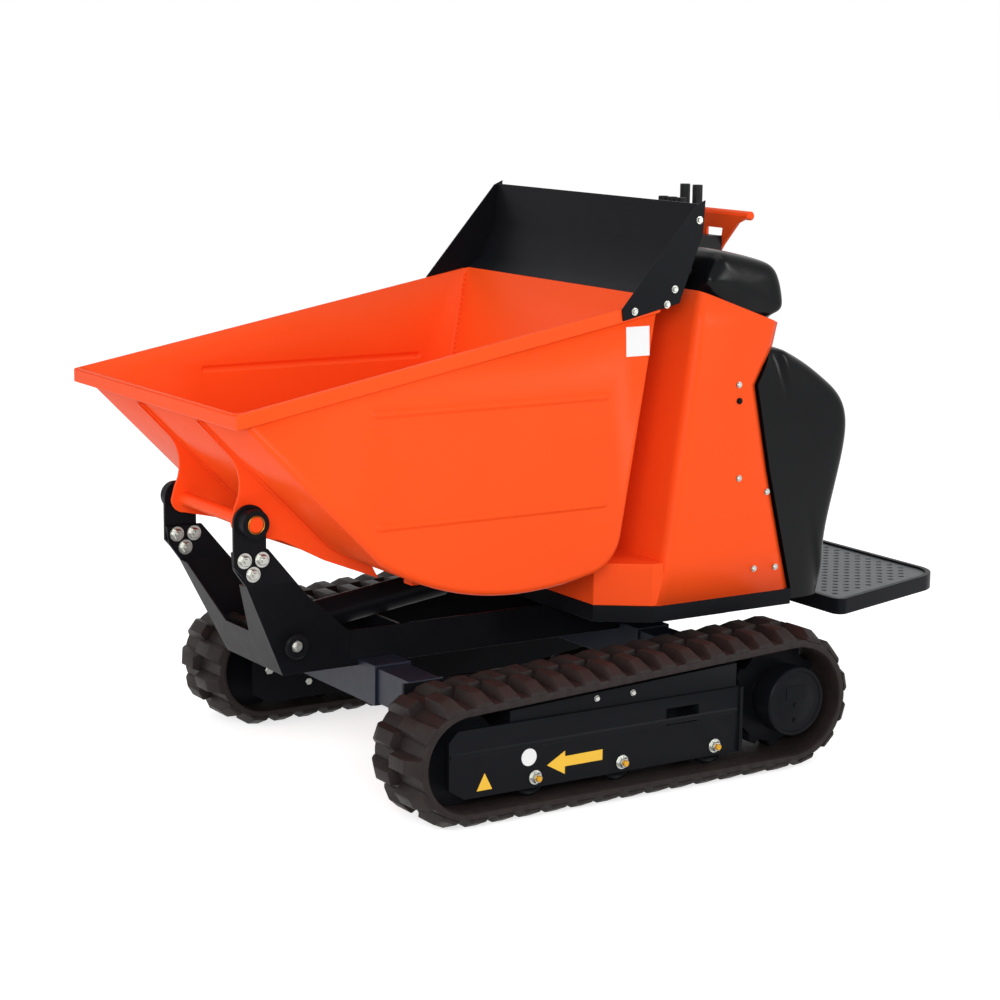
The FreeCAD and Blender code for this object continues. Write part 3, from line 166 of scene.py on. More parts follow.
FINISHES = {
    # slot: name, first tone as a paint's name or hex, second tone, cloud size, roughness range,
    # grain size, grain depth, shader values; sizes in millimetres
    # baked polyester paint, sprayed on steel sheet: satin gloss with a faint orange peel
    "orange_paint": ("baked_orange_paint_on_steel", "orange", "#F5501C", 180, (0.3, 0.4), 7, 0.03,
                     {"Specular IOR Level": 0.08}),
    # satin powder coat on steel plate: a fine grain and broad soft highlights
    "black_paint": ("satin_black_powder_coat", "black", "#15161A", 120, (0.3, 0.42), 3, 0.05,
                    {"Specular IOR Level": 0.05}),
    # blue black paint on square tube: a little chalkier than the frame's
    "blue_paint": ("blue_black_paint_on_tube", "tube_blue", "#191E2A", 90, (0.36, 0.5), 4, 0.06,
                   {"Specular IOR Level": 0.3}),
    # moulded ABS with a polished skin: deep black with a clear reflection
    "gloss_black": ("polished_black_abs", "moulded", "#0C0D0F", 150, (0.2, 0.28), 20, 0.02,
                    {"Specular IOR Level": 0.12}),
    # moulded polypropylene with a spark-eroded grain: dull, with fine pebbles
    "black_plastic": ("grained_black_plastic", "#0E0F11", "#141517", 60, (0.45, 0.6), 2, 0.12,
                      {"Specular IOR Level": 0.2}),
    # vulcanised track rubber: matt, slightly brown, with mould grain and dry dust
    "rubber": ("vulcanised_track_rubber", "rubber", "#2A2220", 34, (0.42, 0.66), 5, 0.35,
               {"Specular IOR Level": 0.16}),
    # zinc-plated steel, barrel plated: pale grey metal with soft blotches
    "zinc": ("zinc_plated_steel", "#C2C3BF", "#94968F", 8, (0.24, 0.4), 3, 0.02,
             {"Metallic": 1.0}),
    # zinc plate with a yellow chromate: brassy metal
    "yellow_zinc": ("yellow_chromate_on_zinc", "#D9A63A", "#A97A26", 6, (0.28, 0.42), 3, 0.02,
                    {"Metallic": 1.0}),
    # turned brass of the hinge bushes: warm metal with a dull ring
    "brass": ("turned_bearing_brass", "#A7762E", "#7E5822", 10, (0.3, 0.45), 2, 0.02,
              {"Metallic": 1.0}),
    # hard chrome on a ground piston rod: mirror bright
    "chrome": ("hard_chrome", "#D8DADC", "#C4C7CA", 30, (0.07, 0.13), 2, 0.003,
               {"Metallic": 1.0}),
    # grey paint on the pressed platform sheet: satin, rubbed a little by boots
    "grey_paint": ("grey_paint_on_pressed_sheet", "platform", "#45484C", 70, (0.4, 0.55), 4, 0.06),
    # blank vinyl film with a clear top layer: smooth and slightly glossy
    "white_film": ("white_vinyl_film", "#E9EAEA", "#E1E2E3", 40, (0.28, 0.34), 12, 0.005),
    # blank yellow vinyl film: smooth and slightly glossy
    "yellow_film": ("yellow_vinyl_film", "film_yellow", "#E4B226", 40, (0.3, 0.38), 12, 0.005),
}
# the lugs' mould ribs: spacing, drawn coarse so that it shows, depth, and where they start
MOULD_RIB = 5
MOULD_RIB_DEEP = 1.2
MOULD_RIB_FROM = 52
made_materials = {}


def add_mould_ribs(material):
    """Puts fine ribs on the sloping outer ends of the lugs, over the rubber's own grain."""
    tree = material.node_tree
    surface = tree.nodes["Principled BSDF"]
    at = node(tree, "ShaderNodeTexCoord").outputs["Object"]
    # a wave texture of scale 1 repeats 20 times less often than the unit
    ribs = node(tree, "ShaderNodeTexWave",
                {"bands_direction": "X", "Scale": per_mm(MOULD_RIB) / 20}, {"Vector": at})
    place = node(tree, "ShaderNodeSeparateXYZ", None, {"Vector": at})
    off = node(tree, "ShaderNodeMath", {"operation": "ABSOLUTE"}, {0: place.outputs["Y"]})
    from_middle = node(tree, "ShaderNodeMath", {"operation": "SUBTRACT", 1: BELT_MIDDLE * MM},
                       {0: off.outputs[0]})
    reach = node(tree, "ShaderNodeMath", {"operation": "ABSOLUTE"}, {0: from_middle.outputs[0]})
    ends = node(tree, "ShaderNodeMath", {"operation": "GREATER_THAN", 1: MOULD_RIB_FROM * MM},
                {0: reach.outputs[0]})
    seen = node(tree, "ShaderNodeMath", {"operation": "MULTIPLY"},
                {0: ends.outputs[0], 1: ribs.outputs["Fac"]})
    grain = surface.inputs["Normal"].links[0].from_node
    relief = node(tree, "ShaderNodeBump", {"Strength": 1.0, "Distance": MOULD_RIB_DEEP * MM},
                  {"Height": seen.outputs[0], "Normal": grain.outputs["Normal"]})
    tree.links.new(relief.outputs["Normal"], surface.inputs["Normal"])


def finish_of(slot):
    """The material of a slot, made once."""
    if slot not in made_materials:
        name, first, second, *values = FINISHES[slot]
        first = getattr(bpy.context.scene.carrier_paint, first, first)
        made_materials[slot] = finish(name, (first, second), *values)
        if slot == "rubber":
            add_mould_ribs(made_materials[slot])
    return made_materials[slot]


# Pieces

def linked(name, data):
    """A new object in the scene."""
    thing = bpy.data.objects.new(name, data)
    bpy.context.scene.collection.objects.link(thing)
    return thing


def body_of_node(name):
    """The body that a CAD node rides on."""
    for body, names in frame["record"]["behaviour"]["bodies"].items():
        if name in names:
            return body
    raise RuntimeError("no body holds " + name)


def slot_of_node(name):
    """The material slot that the record gives a CAD node."""
    for part in frame["record"]["subparts"]:
        if part["node"] == name:
            return part["material_slot"]
    raise RuntimeError("no slot for " + name)


# the angle over which an edge stays sharp, and the CAD nodes that a piece stands for
SHARP = 32
stood_for = set()


def placed(name, mesh, body, slot, sharp=SHARP, nodes=()):
    """Adds a finished mesh as a piece that rides on a body and may stand for CAD nodes."""
    mesh.shade_smooth()
    mesh.set_sharp_from_angle(angle=math.radians(sharp))
    mesh.materials.clear()
    mesh.materials.append(finish_of(slot))
    piece = linked(name, mesh)
    if nodes:
        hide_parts(*nodes)
        stood_for.update(nodes)
    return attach(piece, body)


def rounded(piece, width, steps=2):
    """Gives a piece's sharp edges a small round."""
    bevel = piece.modifiers.new("edges", "BEVEL")
    bevel.width = width
    bevel.segments = steps
    bevel.limit_method = "ANGLE"
    bevel.angle_limit = math.radians(SHARP)
    bevel.harden_normals = True


def thickened(piece, thick):
    """Gives a sheet its thickness, inward from its outside."""
    wall = piece.modifiers.new("sheet", "SOLIDIFY")
    wall.thickness = thick
    wall.offset = -1.0
    wall.use_even_offset = True


def merge_doubles(work):
    bmesh.ops.remove_doubles(work, verts=work.verts, dist=0.01 * MM)


def band_between(work, one, two, closed):
    """Faces between two rows of points."""
    count = len(one)
    for i in range(count if closed else count - 1):
        j = (i + 1) % count
        work.faces.new((one[i], one[j], two[j], two[i]))


def mesh_of(name, work):
    """A mesh from a bmesh, its doubles merged and its normals outward."""
    merge_doubles(work)
    bmesh.ops.recalc_face_normals(work, faces=work.faces)
    mesh = bpy.data.meshes.new(name)
    work.to_mesh(mesh)
    work.free()
    return mesh


def merged_copy(name):
    """A CAD node's mesh with its loose triangles joined and its flat faces whole."""
    mesh = frame["nodes"][name].data.copy()
    mesh.name = name + "_dressed"
    work = bmesh.new()
    work.from_mesh(mesh)
    merge_doubles(work)
    bmesh.ops.dissolve_limit(work, angle_limit=math.radians(0.5), verts=work.verts,
                             edges=work.edges)
    work.to_mesh(mesh)
    work.free()
    return mesh


def slab(work, outline, low, high, across="y", holes=()):
    """Adds a flat shape, with its holes, that is as thick as from low to high.

    outline and holes are (x, z) points in millimetres, or (y, z) with across="x", or (x, y)
    with across="z"."""
    axes = {"x": (1, 2, 0), "y": (0, 2, 1), "z": (0, 1, 2)}[across]
    edges = []
    for loop in (outline,) + tuple(holes):
        ring = []
        for first, second in loop:
            point = [0.0, 0.0, 0.0]
            point[axes[0]], point[axes[1]], point[axes[2]] = first, second, low
            ring.append(work.verts.new(Vector(point) * MM))
        edges += [work.edges.new(pair) for pair in zip(ring, ring[1:] + ring[:1])]
    filled = bmesh.ops.triangle_fill(work, edges=edges, use_beauty=True)
    faces = [item for item in filled["geom"] if isinstance(item, bmesh.types.BMFace)]
    raised = bmesh.ops.extrude_face_region(work, geom=faces, use_keep_orig=True)
    lift = Vector((0, 0, 0))
    lift[axes[2]] = (high - low) * MM
    bmesh.ops.translate(work, vec=lift, verts=[item for item in raised["geom"]
                                               if isinstance(item, bmesh.types.BMVert)])


def turned(work, centre, profile, steps=40):
    """Adds a body turned about a crosswise axis.

    profile: a closed loop of (radius, distance across) in millimetres."""
    rings = []
    for step in range(steps):
        angle = 2 * math.pi * step / steps
        rings.append([work.verts.new(Vector((centre[0] + radius * math.cos(angle), across,
                                             centre[1] + radius * math.sin(angle))) * MM)
                      for radius, across in profile])
    for one, two in zip(rings, rings[1:] + rings[:1]):
        band_between(work, one, two, True)


# Geometry node trees

def repeat_tree(name, inputs):
    """A geometry node tree with named inputs; gives the tree, its input and its output node."""
    tree = bpy.data.node_groups.new(name, "GeometryNodeTree")
    tree.interface.new_socket("Geometry", in_out="INPUT", socket_type="NodeSocketGeometry")
    for label, kind in inputs:
        tree.interface.new_socket(label, in_out="INPUT", socket_type="NodeSocket" + kind)
    tree.interface.new_socket("Geometry", in_out="OUTPUT", socket_type="NodeSocketGeometry")
    return tree, node(tree, "NodeGroupInput"), node(tree, "NodeGroupOutput")


def repeated(tree, links):
    """A shape set on every point and made real; links are what the repeat takes."""
    spread = node(tree, "GeometryNodeInstanceOnPoints", None, links)
    return node(tree, "GeometryNodeRealizeInstances", None, {0: spread.outputs[0]}).outputs[0]


def painted(tree, shape, material, result):
    """Ends a tree: gives the shape its material and hands it out."""
    coat = node(tree, "GeometryNodeSetMaterial", None, {"Geometry": shape, "Material": material})
    tree.links.new(coat.outputs[0], result.inputs[0])
    return tree


def fastener_tree():
    """Puts a chamfered head with its washer and stud end on each point, along its facing."""
    tree, given, result = repeat_tree("fasteners", (
        ("Corners", "Int"), ("Head radius", "Float"), ("Head height", "Float"),
        ("Washer radius", "Float"), ("Stud radius", "Float"), ("Material", "Material")))
    take = given.outputs
    washer_high = 0.0022
    chamfer = node(tree, "ShaderNodeMath", {"operation": "MULTIPLY", 1: 0.25},
                   {0: take["Head height"]})
    straight = node(tree, "ShaderNodeMath", {"operation": "MULTIPLY", 1: 0.75},
                    {0: take["Head height"]})
    crown = node(tree, "ShaderNodeMath", {"operation": "MULTIPLY", 1: 0.84},
                 {0: take["Head radius"]})
    washer = node(tree, "GeometryNodeMeshCone", {"Vertices": 24, "Depth": washer_high},
                  {"Radius Top": take["Washer radius"], "Radius Bottom": take["Washer radius"]})
    head = node(tree, "GeometryNodeMeshCone", None,
                {"Vertices": take["Corners"], "Depth": straight.outputs[0],
                 "Radius Top": take["Head radius"], "Radius Bottom": take["Head radius"]})
    head_up = node(tree, "GeometryNodeTransform", {"Translation": (0, 0, washer_high)},
                   {"Geometry": head.outputs["Mesh"]})
    top = node(tree, "GeometryNodeMeshCone", None,
               {"Vertices": take["Corners"], "Depth": chamfer.outputs[0],
                "Radius Top": crown.outputs[0], "Radius Bottom": take["Head radius"]})
    top_high = node(tree, "ShaderNodeMath", {"operation": "ADD", 1: washer_high},
                    {0: straight.outputs[0]})
    top_place = node(tree, "ShaderNodeCombineXYZ", None, {"Z": top_high.outputs[0]})
    top_up = node(tree, "GeometryNodeTransform", None,
                  {"Geometry": top.outputs["Mesh"], "Translation": top_place.outputs[0]})
    stud = node(tree, "GeometryNodeMeshCone", {"Vertices": 12}, {
        "Radius Top": take["Stud radius"], "Radius Bottom": take["Stud radius"],
        "Depth": take["Head height"]})
    stud_place = node(tree, "ShaderNodeCombineXYZ", None, {"Z": straight.outputs[0]})
    stud_up = node(tree, "GeometryNodeTransform", None,
                   {"Geometry": stud.outputs["Mesh"], "Translation": stud_place.outputs[0]})
    whole = node(tree, "GeometryNodeJoinGeometry")
    for part in (washer.outputs["Mesh"], head_up.outputs[0], top_up.outputs[0],
                 stud_up.outputs[0]):
        tree.links.new(part, whole.inputs[0])
    facing = node(tree, "GeometryNodeInputNamedAttribute",
                  {"data_type": "FLOAT_VECTOR", "Name": "facing"})
    turn = node(tree, "FunctionNodeAlignRotationToVector", {"axis": "Z"},
                {"Vector": facing.outputs["Attribute"]})
    size = node(tree, "GeometryNodeInputNamedAttribute", {"data_type": "FLOAT", "Name": "size"})
    real = repeated(tree, {
        "Points": take["Geometry"], "Instance": whole.outputs[0],
        "Rotation": turn.outputs["Rotation"], "Scale": size.outputs["Attribute"]})
    return painted(tree, real, take["Material"], result)


def bead_tree():
    """Lays overlapping ripples of weld metal along the input's edges."""
    tree, given, result = repeat_tree("weld_bead", (
        ("Radius", "Float"), ("Pitch", "Float"), ("Material", "Material")))
    take = given.outputs
    path = node(tree, "GeometryNodeMeshToCurve", None, {"Mesh": take["Geometry"]})
    spots = node(tree, "GeometryNodeResampleCurve", {"mode": "LENGTH"},
                 {"Curve": path.outputs[0], "Length": take["Pitch"]})
    ripple = node(tree, "GeometryNodeMeshUVSphere", {"Segments": 8, "Rings": 5},
                  {"Radius": take["Radius"]})
    real = repeated(tree, {"Points": spots.outputs[0], "Instance": ripple.outputs["Mesh"]})
    return painted(tree, real, take["Material"], result)


def perforation_tree():
    """Cuts a round hole through the input sheet at each point of another object."""
    tree, given, result = repeat_tree("perforations", (
        ("Spots", "Object"), ("Radius", "Float"), ("Depth", "Float"),
        ("Material", "Material")))
    take = given.outputs
    spots = node(tree, "GeometryNodeObjectInfo", None, {"Object": take["Spots"]})
    punch = node(tree, "GeometryNodeMeshCone", {"Vertices": 10}, {
        "Radius Top": take["Radius"], "Radius Bottom": take["Radius"], "Depth": take["Depth"]})
    real = repeated(tree, {"Points": spots.outputs["Geometry"],
                           "Instance": punch.outputs["Mesh"]})
    holed = node(tree, "GeometryNodeMeshBoolean", {"operation": "DIFFERENCE"},
                 {"Mesh 1": take["Geometry"], "Mesh 2": real})
    return painted(tree, holed.outputs[0], take["Material"], result)


def tread_tree():
    """Sets a lug on each point, by its facing and along directions, and joins the band."""
    tree, given, result = repeat_tree("tread", (
        ("Lug", "Object"), ("Band", "Object"), ("Material", "Material")))
    take = given.outputs
    lug = node(tree, "GeometryNodeObjectInfo", None, {"Object": take["Lug"]})
    band = node(tree, "GeometryNodeObjectInfo", None, {"Object": take["Band"]})
    facing = node(tree, "GeometryNodeInputNamedAttribute",
                  {"data_type": "FLOAT_VECTOR", "Name": "facing"})
    along = node(tree, "GeometryNodeInputNamedAttribute",
                 {"data_type": "FLOAT_VECTOR", "Name": "along"})
    upright = node(tree, "FunctionNodeAlignRotationToVector", {"axis": "Z"},
                   {"Vector": facing.outputs["Attribute"]})
    turn = node(tree, "FunctionNodeAlignRotationToVector", {"axis": "X", "pivot_axis": "Z"},
                {"Rotation": upright.outputs["Rotation"], "Vector": along.outputs["Attribute"]})
    real = repeated(tree, {"Points": take["Geometry"], "Instance": lug.outputs["Geometry"],
                           "Rotation": turn.outputs["Rotation"]})
    whole = node(tree, "GeometryNodeJoinGeometry")
    tree.links.new(real, whole.inputs[0])
    tree.links.new(band.outputs["Geometry"], whole.inputs[0])
    return painted(tree, whole.outputs[0], take["Material"], result)


TREES = {"tread": tread_tree, "fasteners": fastener_tree, "weld_bead": bead_tree,
         "perforations": perforation_tree}


def grown(name, mesh, kind, values):
    """The plain mesh that a geometry node tree makes from a mesh."""
    tree = bpy.data.node_groups.get(kind) or TREES[kind]()
    carrier = linked(name + "_base", mesh)
    modifier = carrier.modifiers.new(kind, "NODES")
    modifier.node_group = tree
    for item in tree.interface.items_tree:
        if item.item_type == "SOCKET" and item.in_out == "INPUT" and item.name in values:
            modifier[item.identifier] = values[item.name]
    seen = carrier.evaluated_get(bpy.context.evaluated_depsgraph_get())
    result = bpy.data.meshes.new_from_object(seen)
    carrier.modifiers.clear()
    bpy.data.objects.remove(carrier)
    if not result.polygons:
        raise RuntimeError(name + " came out empty")
    result.name = name
    return result


# a stud too thin to show, for a fastener without one
NO_STUD = 0.001


def fasteners(name, body, slot, spots, corners, radius, height, washer, stud=NO_STUD):
    """Like fasteners of one finish. spots: (x, y, z, facing, size) in millimetres."""
    mesh = bpy.data.meshes.new(name)
    mesh.from_pydata([Vector(spot[:3]) * MM for spot in spots], [], [])
    facing = mesh.attributes.new("facing", "FLOAT_VECTOR", "POINT")
    facing.data.foreach_set("vector", [value for spot in spots for value in spot[3]])
    size = mesh.attributes.new("size", "FLOAT", "POINT")
    size.data.foreach_set("value", [spot[4] for spot in spots])
    made = grown(name, mesh, "fasteners", {
        "Corners": corners, "Head radius": radius * MM, "Head height": height * MM,
        "Washer radius": washer * MM, "Stud radius": stud * MM, "Material": finish_of(slot)})
    return placed(name, made, body, slot)


def weld(name, body, slot, paths, pitch=1.1):
    """Weld beads along paths of (x, y, z) points in millimetres, spaced in bead radii."""
    points, edges = [], []
    for path in paths:
        first = len(points)
        points += [Vector(point) * MM for point in path]
        edges += [(first + i, first + i + 1) for i in range(len(path) - 1)]
    mesh = bpy.data.meshes.new(name)
    mesh.from_pydata(points, edges, [])
    radius = bpy.context.scene.carrier_sizes.weld_bead
    made = grown(name, mesh, "weld_bead", {"Radius": radius, "Pitch": radius * pitch,
                                           "Material": finish_of(slot)})
    return placed(name, made, body, slot, sharp=60)


# Skip

# the outside's side profile: arcs by centre, radius and angles from straight down
SKIP_ARCS = (
    # x, z, radius, from, to, steps
    (295, 970, 567, 32.5, 0, 12),
    (295, 1134, 731, 0, -13.7, 5),
    (143, 511, 90, -13.7, -80.2, 8),
)
SKIP_HALF = 361
SHEET = 4
RIM_FRONT = (900, 796)
RIM_SLOPE = math.tan(math.radians(10.24))
RIB_ROWS = (
    # front x, rear x, height
    (615, 102, 777),
    (606, 103, 565),
)
RIB_HALF = 9
RIB_TOP_HALF = 3
RIB_HIGH = 4
FRONT_WALL_FOOT = (600, 492)
REAR_WALL_FOOT = (54.3, 496)
REAR_WALL_LEAN = -0.172
# how far both walls run past the rim before they are cut off there
OVER_FRONT = 60
OVER_REAR = 540
FOLD_STEPS = 6
SIGN = ((1, 851), (56, 851), (58, 909), (3, 909))
SIGN_IN = 0.5
SIGN_OUT = 0.7
# the rear corners' seam: from top to foot as (x, z), and how far in from the side
CORNER_SEAM = ((-16, 950), (37, 640))
CORNER_IN = 7.5
GUSSET_SEAM = ((872, 766), (700, 592), (606, 497), (560, 470))
GUSSET_FACES = (136.5, 127.5)


def skip_profile():
    """The outside profile from over the front lip, under the floor, to over the rear wall."""
    wall = (Vector(RIM_FRONT) - Vector(FRONT_WALL_FOOT)).normalized()
    points = [Vector(RIM_FRONT) + wall * OVER_FRONT, Vector(RIM_FRONT)]
    for x, z, radius, start, stop, steps in SKIP_ARCS:
        for step in range(steps):
            angle = math.radians(start + (stop - start) * step / steps)
            points.append(Vector((x + radius * math.sin(angle), z - radius * math.cos(angle))))
    rear_low = Vector(REAR_WALL_FOOT)
    rear_up = Vector((REAR_WALL_LEAN, 1)).normalized()
    return points + [rear_low, rear_low + rear_up * OVER_REAR]


def rib_loop(front_x, rear_x, z, half):
    """A long slot with round ends, as (x, z) points."""
    loop = []
    for middle, start in ((front_x, -90), (rear_x, 90)):
        for step in range(6):
            angle = math.radians(start + 36 * step)
            loop.append((middle + half * math.cos(angle), z + half * math.sin(angle)))
    return loop


def skip_tub(fold):
    """The skip as one sheet: floor, walls, soft folds and pressed ribs in its sides."""
    profile = skip_profile()
    inward = []
    for i, point in enumerate(profile):
        along = (profile[min(i + 1, len(profile) - 1)] - profile[max(i - 1, 0)]).normalized()
        inward.append(Vector((-along.y, along.x)) * -1)
    work = bmesh.new()
    for side in (1, -1):
        rows = []
        for step in range(FOLD_STEPS + 1):
            angle = math.radians(90 * step / FOLD_STEPS)
            shift = fold * (1 - math.cos(angle))
            y = SKIP_HALF - fold + fold * math.sin(angle)
            rows.append([work.verts.new(Vector((p.x + n.x * shift, side * y, p.y + n.y * shift))
                                        * MM) for p, n in zip(profile, inward)])
        for one, two in zip(rows, rows[1:]):
            band_between(work, one, two, False)
        if side == 1:
            left_row = rows[0]
        else:
            band_between(work, left_row, rows[0], False)
        rim = rows[-1]
        edges = [work.edges.get(pair) for pair in zip(rim, rim[1:])]
        edges.append(work.edges.new((rim[-1], rim[0])))
        for front_x, rear_x, z in RIB_ROWS:
            loops = []
            for half, out in ((RIB_HALF, 0), (RIB_TOP_HALF, RIB_HIGH)):
                loops.append([work.verts.new(Vector((x, side * (SKIP_HALF + out), height)) * MM)
                              for x, height in rib_loop(front_x, rear_x, z, half)])
            low, top = loops
            band_between(work, low, top, True)
            work.faces.new(top)
            edges += [work.edges.get(pair) for pair in zip(low, low[1:] + low[:1])]
        bmesh.ops.triangle_fill(work, edges=edges, use_beauty=True)
    bmesh.ops.bisect_plane(
        work, geom=work.verts[:] + work.edges[:] + work.faces[:],
        plane_co=Vector((RIM_FRONT[0], 0, RIM_FRONT[1])) * MM,
        plane_no=Vector((RIM_SLOPE, 0, 1)).normalized(), clear_outer=True)
    mesh = mesh_of("skip_tub", work)
    lowest = min(mesh.polygons, key=lambda face: face.center.z)
    if lowest.normal.z > 0:
        mesh.flip_normals()
    return mesh


class CARRIER_OT_skip(bpy.types.Operator):
    """Make the skip's sheet with folds and ribs, its welds and its blank sign"""

    bl_idname = "carrier.skip"
    bl_label = "Skip"

    def execute(self, context):
        sizes = context.scene.carrier_sizes
        tub = placed("skip_tub", skip_tub(sizes.skip_fold / MM), "skip", "orange_paint", 21,
                     ("skip_floor", "skip_rear", "skip_side_left", "skip_side_right"))
        thickened(tub, SHEET * MM)
        sign = bmesh.new()
        for side in (1, -1):
            slab(sign, SIGN, *sorted((side * (SKIP_HALF - SIGN_IN),
                                      side * (SKIP_HALF + SIGN_OUT))))
        placed("blank_signs", mesh_of("blank_signs", sign), "skip", "white_film")
        seams = [[(x, side * (SKIP_HALF - CORNER_IN), z) for x, z in CORNER_SEAM]
                 for side in (1, -1)]
        weld("skip_corner_welds", "skip", "orange_paint", seams, pitch=3.6)
        weld("gusset_welds", "skip", "orange_paint",
             [[(x, side * y, z) for x, z in GUSSET_SEAM]
              for side in (1, -1) for y in GUSSET_FACES])
        return {"FINISHED"}


# Body

BODY_HALF = 365
# heights with the panel's front and rear place there
BODY_ROWS = (
    # z, front x, rear x
    (345, -19, -369),
    (431, -46, -346),
    (598, -69, -305),
    (775, -94, -268),
    (854, -105, -311),
    (898, -111, -322),
    (990, -124, -334),
)
# the side panels' rear edge bends inward as a narrow flange
FLANGE_IN = 9
FLANGE_LONG = 20
FLANGE_BACK = 2
BEND_STEPS = 8
NOSE = ((-46, 361), (-19, 361), (77, 293))
NOSE_FOOT = 345
NOSE_TOP = 431
# the hood's seat, over which the sheets are cut: a point of it and its upward direction
HOOD_SEAT = (-121, 0, 971)
HOOD_SEAT_UP = (-73, 0, 201)


def body_sheet(bend):
    """Side panels and the leaning front sheet as one sheet with bent upright corners."""
    work = bmesh.new()
    rows = []
    for z, front, rear in BODY_ROWS:
        half = [(rear + FLANGE_BACK, BODY_HALF - FLANGE_IN), (rear + FLANGE_LONG, BODY_HALF),
                (front - bend, BODY_HALF)]
        for step in range(1, BEND_STEPS):
            angle = math.radians(90 * step / BEND_STEPS)
            half.append((front - bend + bend * math.sin(angle),
                         BODY_HALF - bend + bend * math.cos(angle)))
        half.append((front, BODY_HALF - bend))
        plan = half + [(x, -y) for x, y in reversed(half)]
        rows.append([work.verts.new(Vector((x, y, z)) * MM) for x, y in plan])
    for one, two in zip(rows, rows[1:]):
        band_between(work, one, two, False)
    bmesh.ops.bisect_plane(
        work, geom=work.verts[:] + work.edges[:] + work.faces[:],
        plane_co=Vector(HOOD_SEAT) * MM, plane_no=Vector(HOOD_SEAT_UP).normalized(),
        clear_outer=True)
    return mesh_of("body_sheet", work)


# outlines of the moulded pieces, and how many of their first points stay sharp
HOOD_OUTLINE = ((-322, 898), (-121, 971), (-141, 1012), (-162, 1053), (-206, 1047), (-250, 1038),
                (-289, 1028), (-328, 1015), (-348, 941))
COVER_OUTLINE = ((-462, 323), (-369, 323), (-369, 345), (-305, 598), (-268, 775), (-311, 854),
                 (-362, 840), (-414, 813), (-462, 779), (-510, 742), (-532, 674), (-505, 560),
                 (-466, 426))
# rings of a moulded piece's end, from its full outline outward: distance in, inset
MOULD_FULL = 90
MOULD_RINGS = ((MOULD_FULL, 0), (26, 2), (5, 16), (0, 44))
# moulded pieces: name, outline, first points that stay sharp, CAD node
MOULDINGS = (
    ("hood_moulding", HOOD_OUTLINE, 2, "hood"),
    ("cover_moulding", COVER_OUTLINE, 6, "rear_cover"),
)
# the hand hold's plate and windows as half outlines of (y, z), its tube as (radius, y)
HOLD_HALF = ((50, 1012), (68, 1033), (115, 1080), (145, 1092), (145, 1096))
HOLD_WINDOW = ((7, 1066), (62, 1066), (60, 1052), (34, 1030), (7, 1030))
HOLD_PLATE_X = (-405, -399.3)
HOLD_TUBE_AT = (-412, 1096)
HOLD_TUBE = ((0.01, -145), (6, -145), (9.5, -141.5), (9.5, 141.5), (6, 145), (0.01, 145))


def moulded(name, outline, firm):
    """A smooth cage round an outline; its first firm points keep sharp edges."""
    points = [Vector(point) for point in outline]
    count = len(points)
    inward = []
    for i, point in enumerate(points):
        along = (points[(i + 1) % count] - points[i - 1]).normalized()
        inward.append(Vector((-along.y, along.x)))
    work = bmesh.new()
    crease = work.edges.layers.float.new("crease_edge")
    rings = []
    for side in (-1, 1):
        ends = []
        for back, inset in MOULD_RINGS:
            ring = []
            for i, point in enumerate(points):
                moved = point if i < firm else point + inward[i] * inset
                y = BODY_HALF - (0 if i < firm and back < MOULD_FULL else back)
                ring.append(work.verts.new(Vector((moved.x, side * y, moved.y)) * MM))
            ends.append(ring)
        rings += ends[::-1] if side < 0 else ends
    for one, two in zip(rings, rings[1:]):
        band_between(work, one, two, True)
    work.faces.new(rings[0])
    work.faces.new(rings[-1])
    merge_doubles(work)
    firm_spots = [points[i] * MM for i in range(firm)]
    for edge in work.edges:
        on_firm = [min((Vector((v.co.x, v.co.z)) - spot).length for spot in firm_spots) < 1e-5
                   for v in edge.verts]
        if all(on_firm):
            edge[crease] = 1.0
    return mesh_of(name, work)


def nose_sheet():
    """The step in front of the body, over the deck."""
    work = bmesh.new()
    left = [Vector((x, y)) for x, y in NOSE]
    plan = left + [Vector((p.x, -p.y)) for p in reversed(left)]
    low, high = [[work.verts.new(Vector((p.x, p.y, z)) * MM) for p in plan]
                 for z in (NOSE_FOOT, NOSE_TOP)]
    band_between(work, low, high, False)
    work.faces.new(high)
    return mesh_of("nose_sheet", work)


class CARRIER_OT_body(bpy.types.Operator):
    """Make the body's bent sheets, the moulded hood and rear cover, and the hand hold"""

    bl_idname = "carrier.body"
    bl_label = "Body"

    def execute(self, context):
        sizes = context.scene.carrier_sizes
        panels = placed("body_sheet", body_sheet(sizes.body_bend / MM), "chassis",
                        "orange_paint", SHARP, ("body_side_left", "body_side_right", "body_front"))
        thickened(panels, SHEET * MM)
        nose = placed("nose_sheet", nose_sheet(), "chassis", "orange_paint")
        thickened(nose, SHEET * MM)
        rounded(nose, 0.004, 3)

        for name, outline, firm, node_name in MOULDINGS:
            piece = placed(name, moulded(name, outline, firm), "chassis", "gloss_black", 60,
                           (node_name,))
            smooth = piece.modifiers.new("smooth", "SUBSURF")
            smooth.levels = smooth.render_levels = 3

        plate = [(-y, z) for y, z in HOLD_HALF] + list(HOLD_HALF[::-1])
        windows = [[(side * y, z) for y, z in HOLD_WINDOW] for side in (1, -1)]
        hold = bmesh.new()
        slab(hold, plate, *HOLD_PLATE_X, "x", windows)
        turned(hold, HOLD_TUBE_AT, HOLD_TUBE, 24)
        rounded(placed("hand_hold", mesh_of("hand_hold", hold), "chassis", "orange_paint", SHARP,
                       ("handle",)), 0.0012)
        return {"FINISHED"}


# Tracks

SPROCKET = (-277, 148)
IDLER = (491, 130)
ROLLERS = ((339, 80), (138, 80), (-86, 80))
OUTER_PLATE = 488
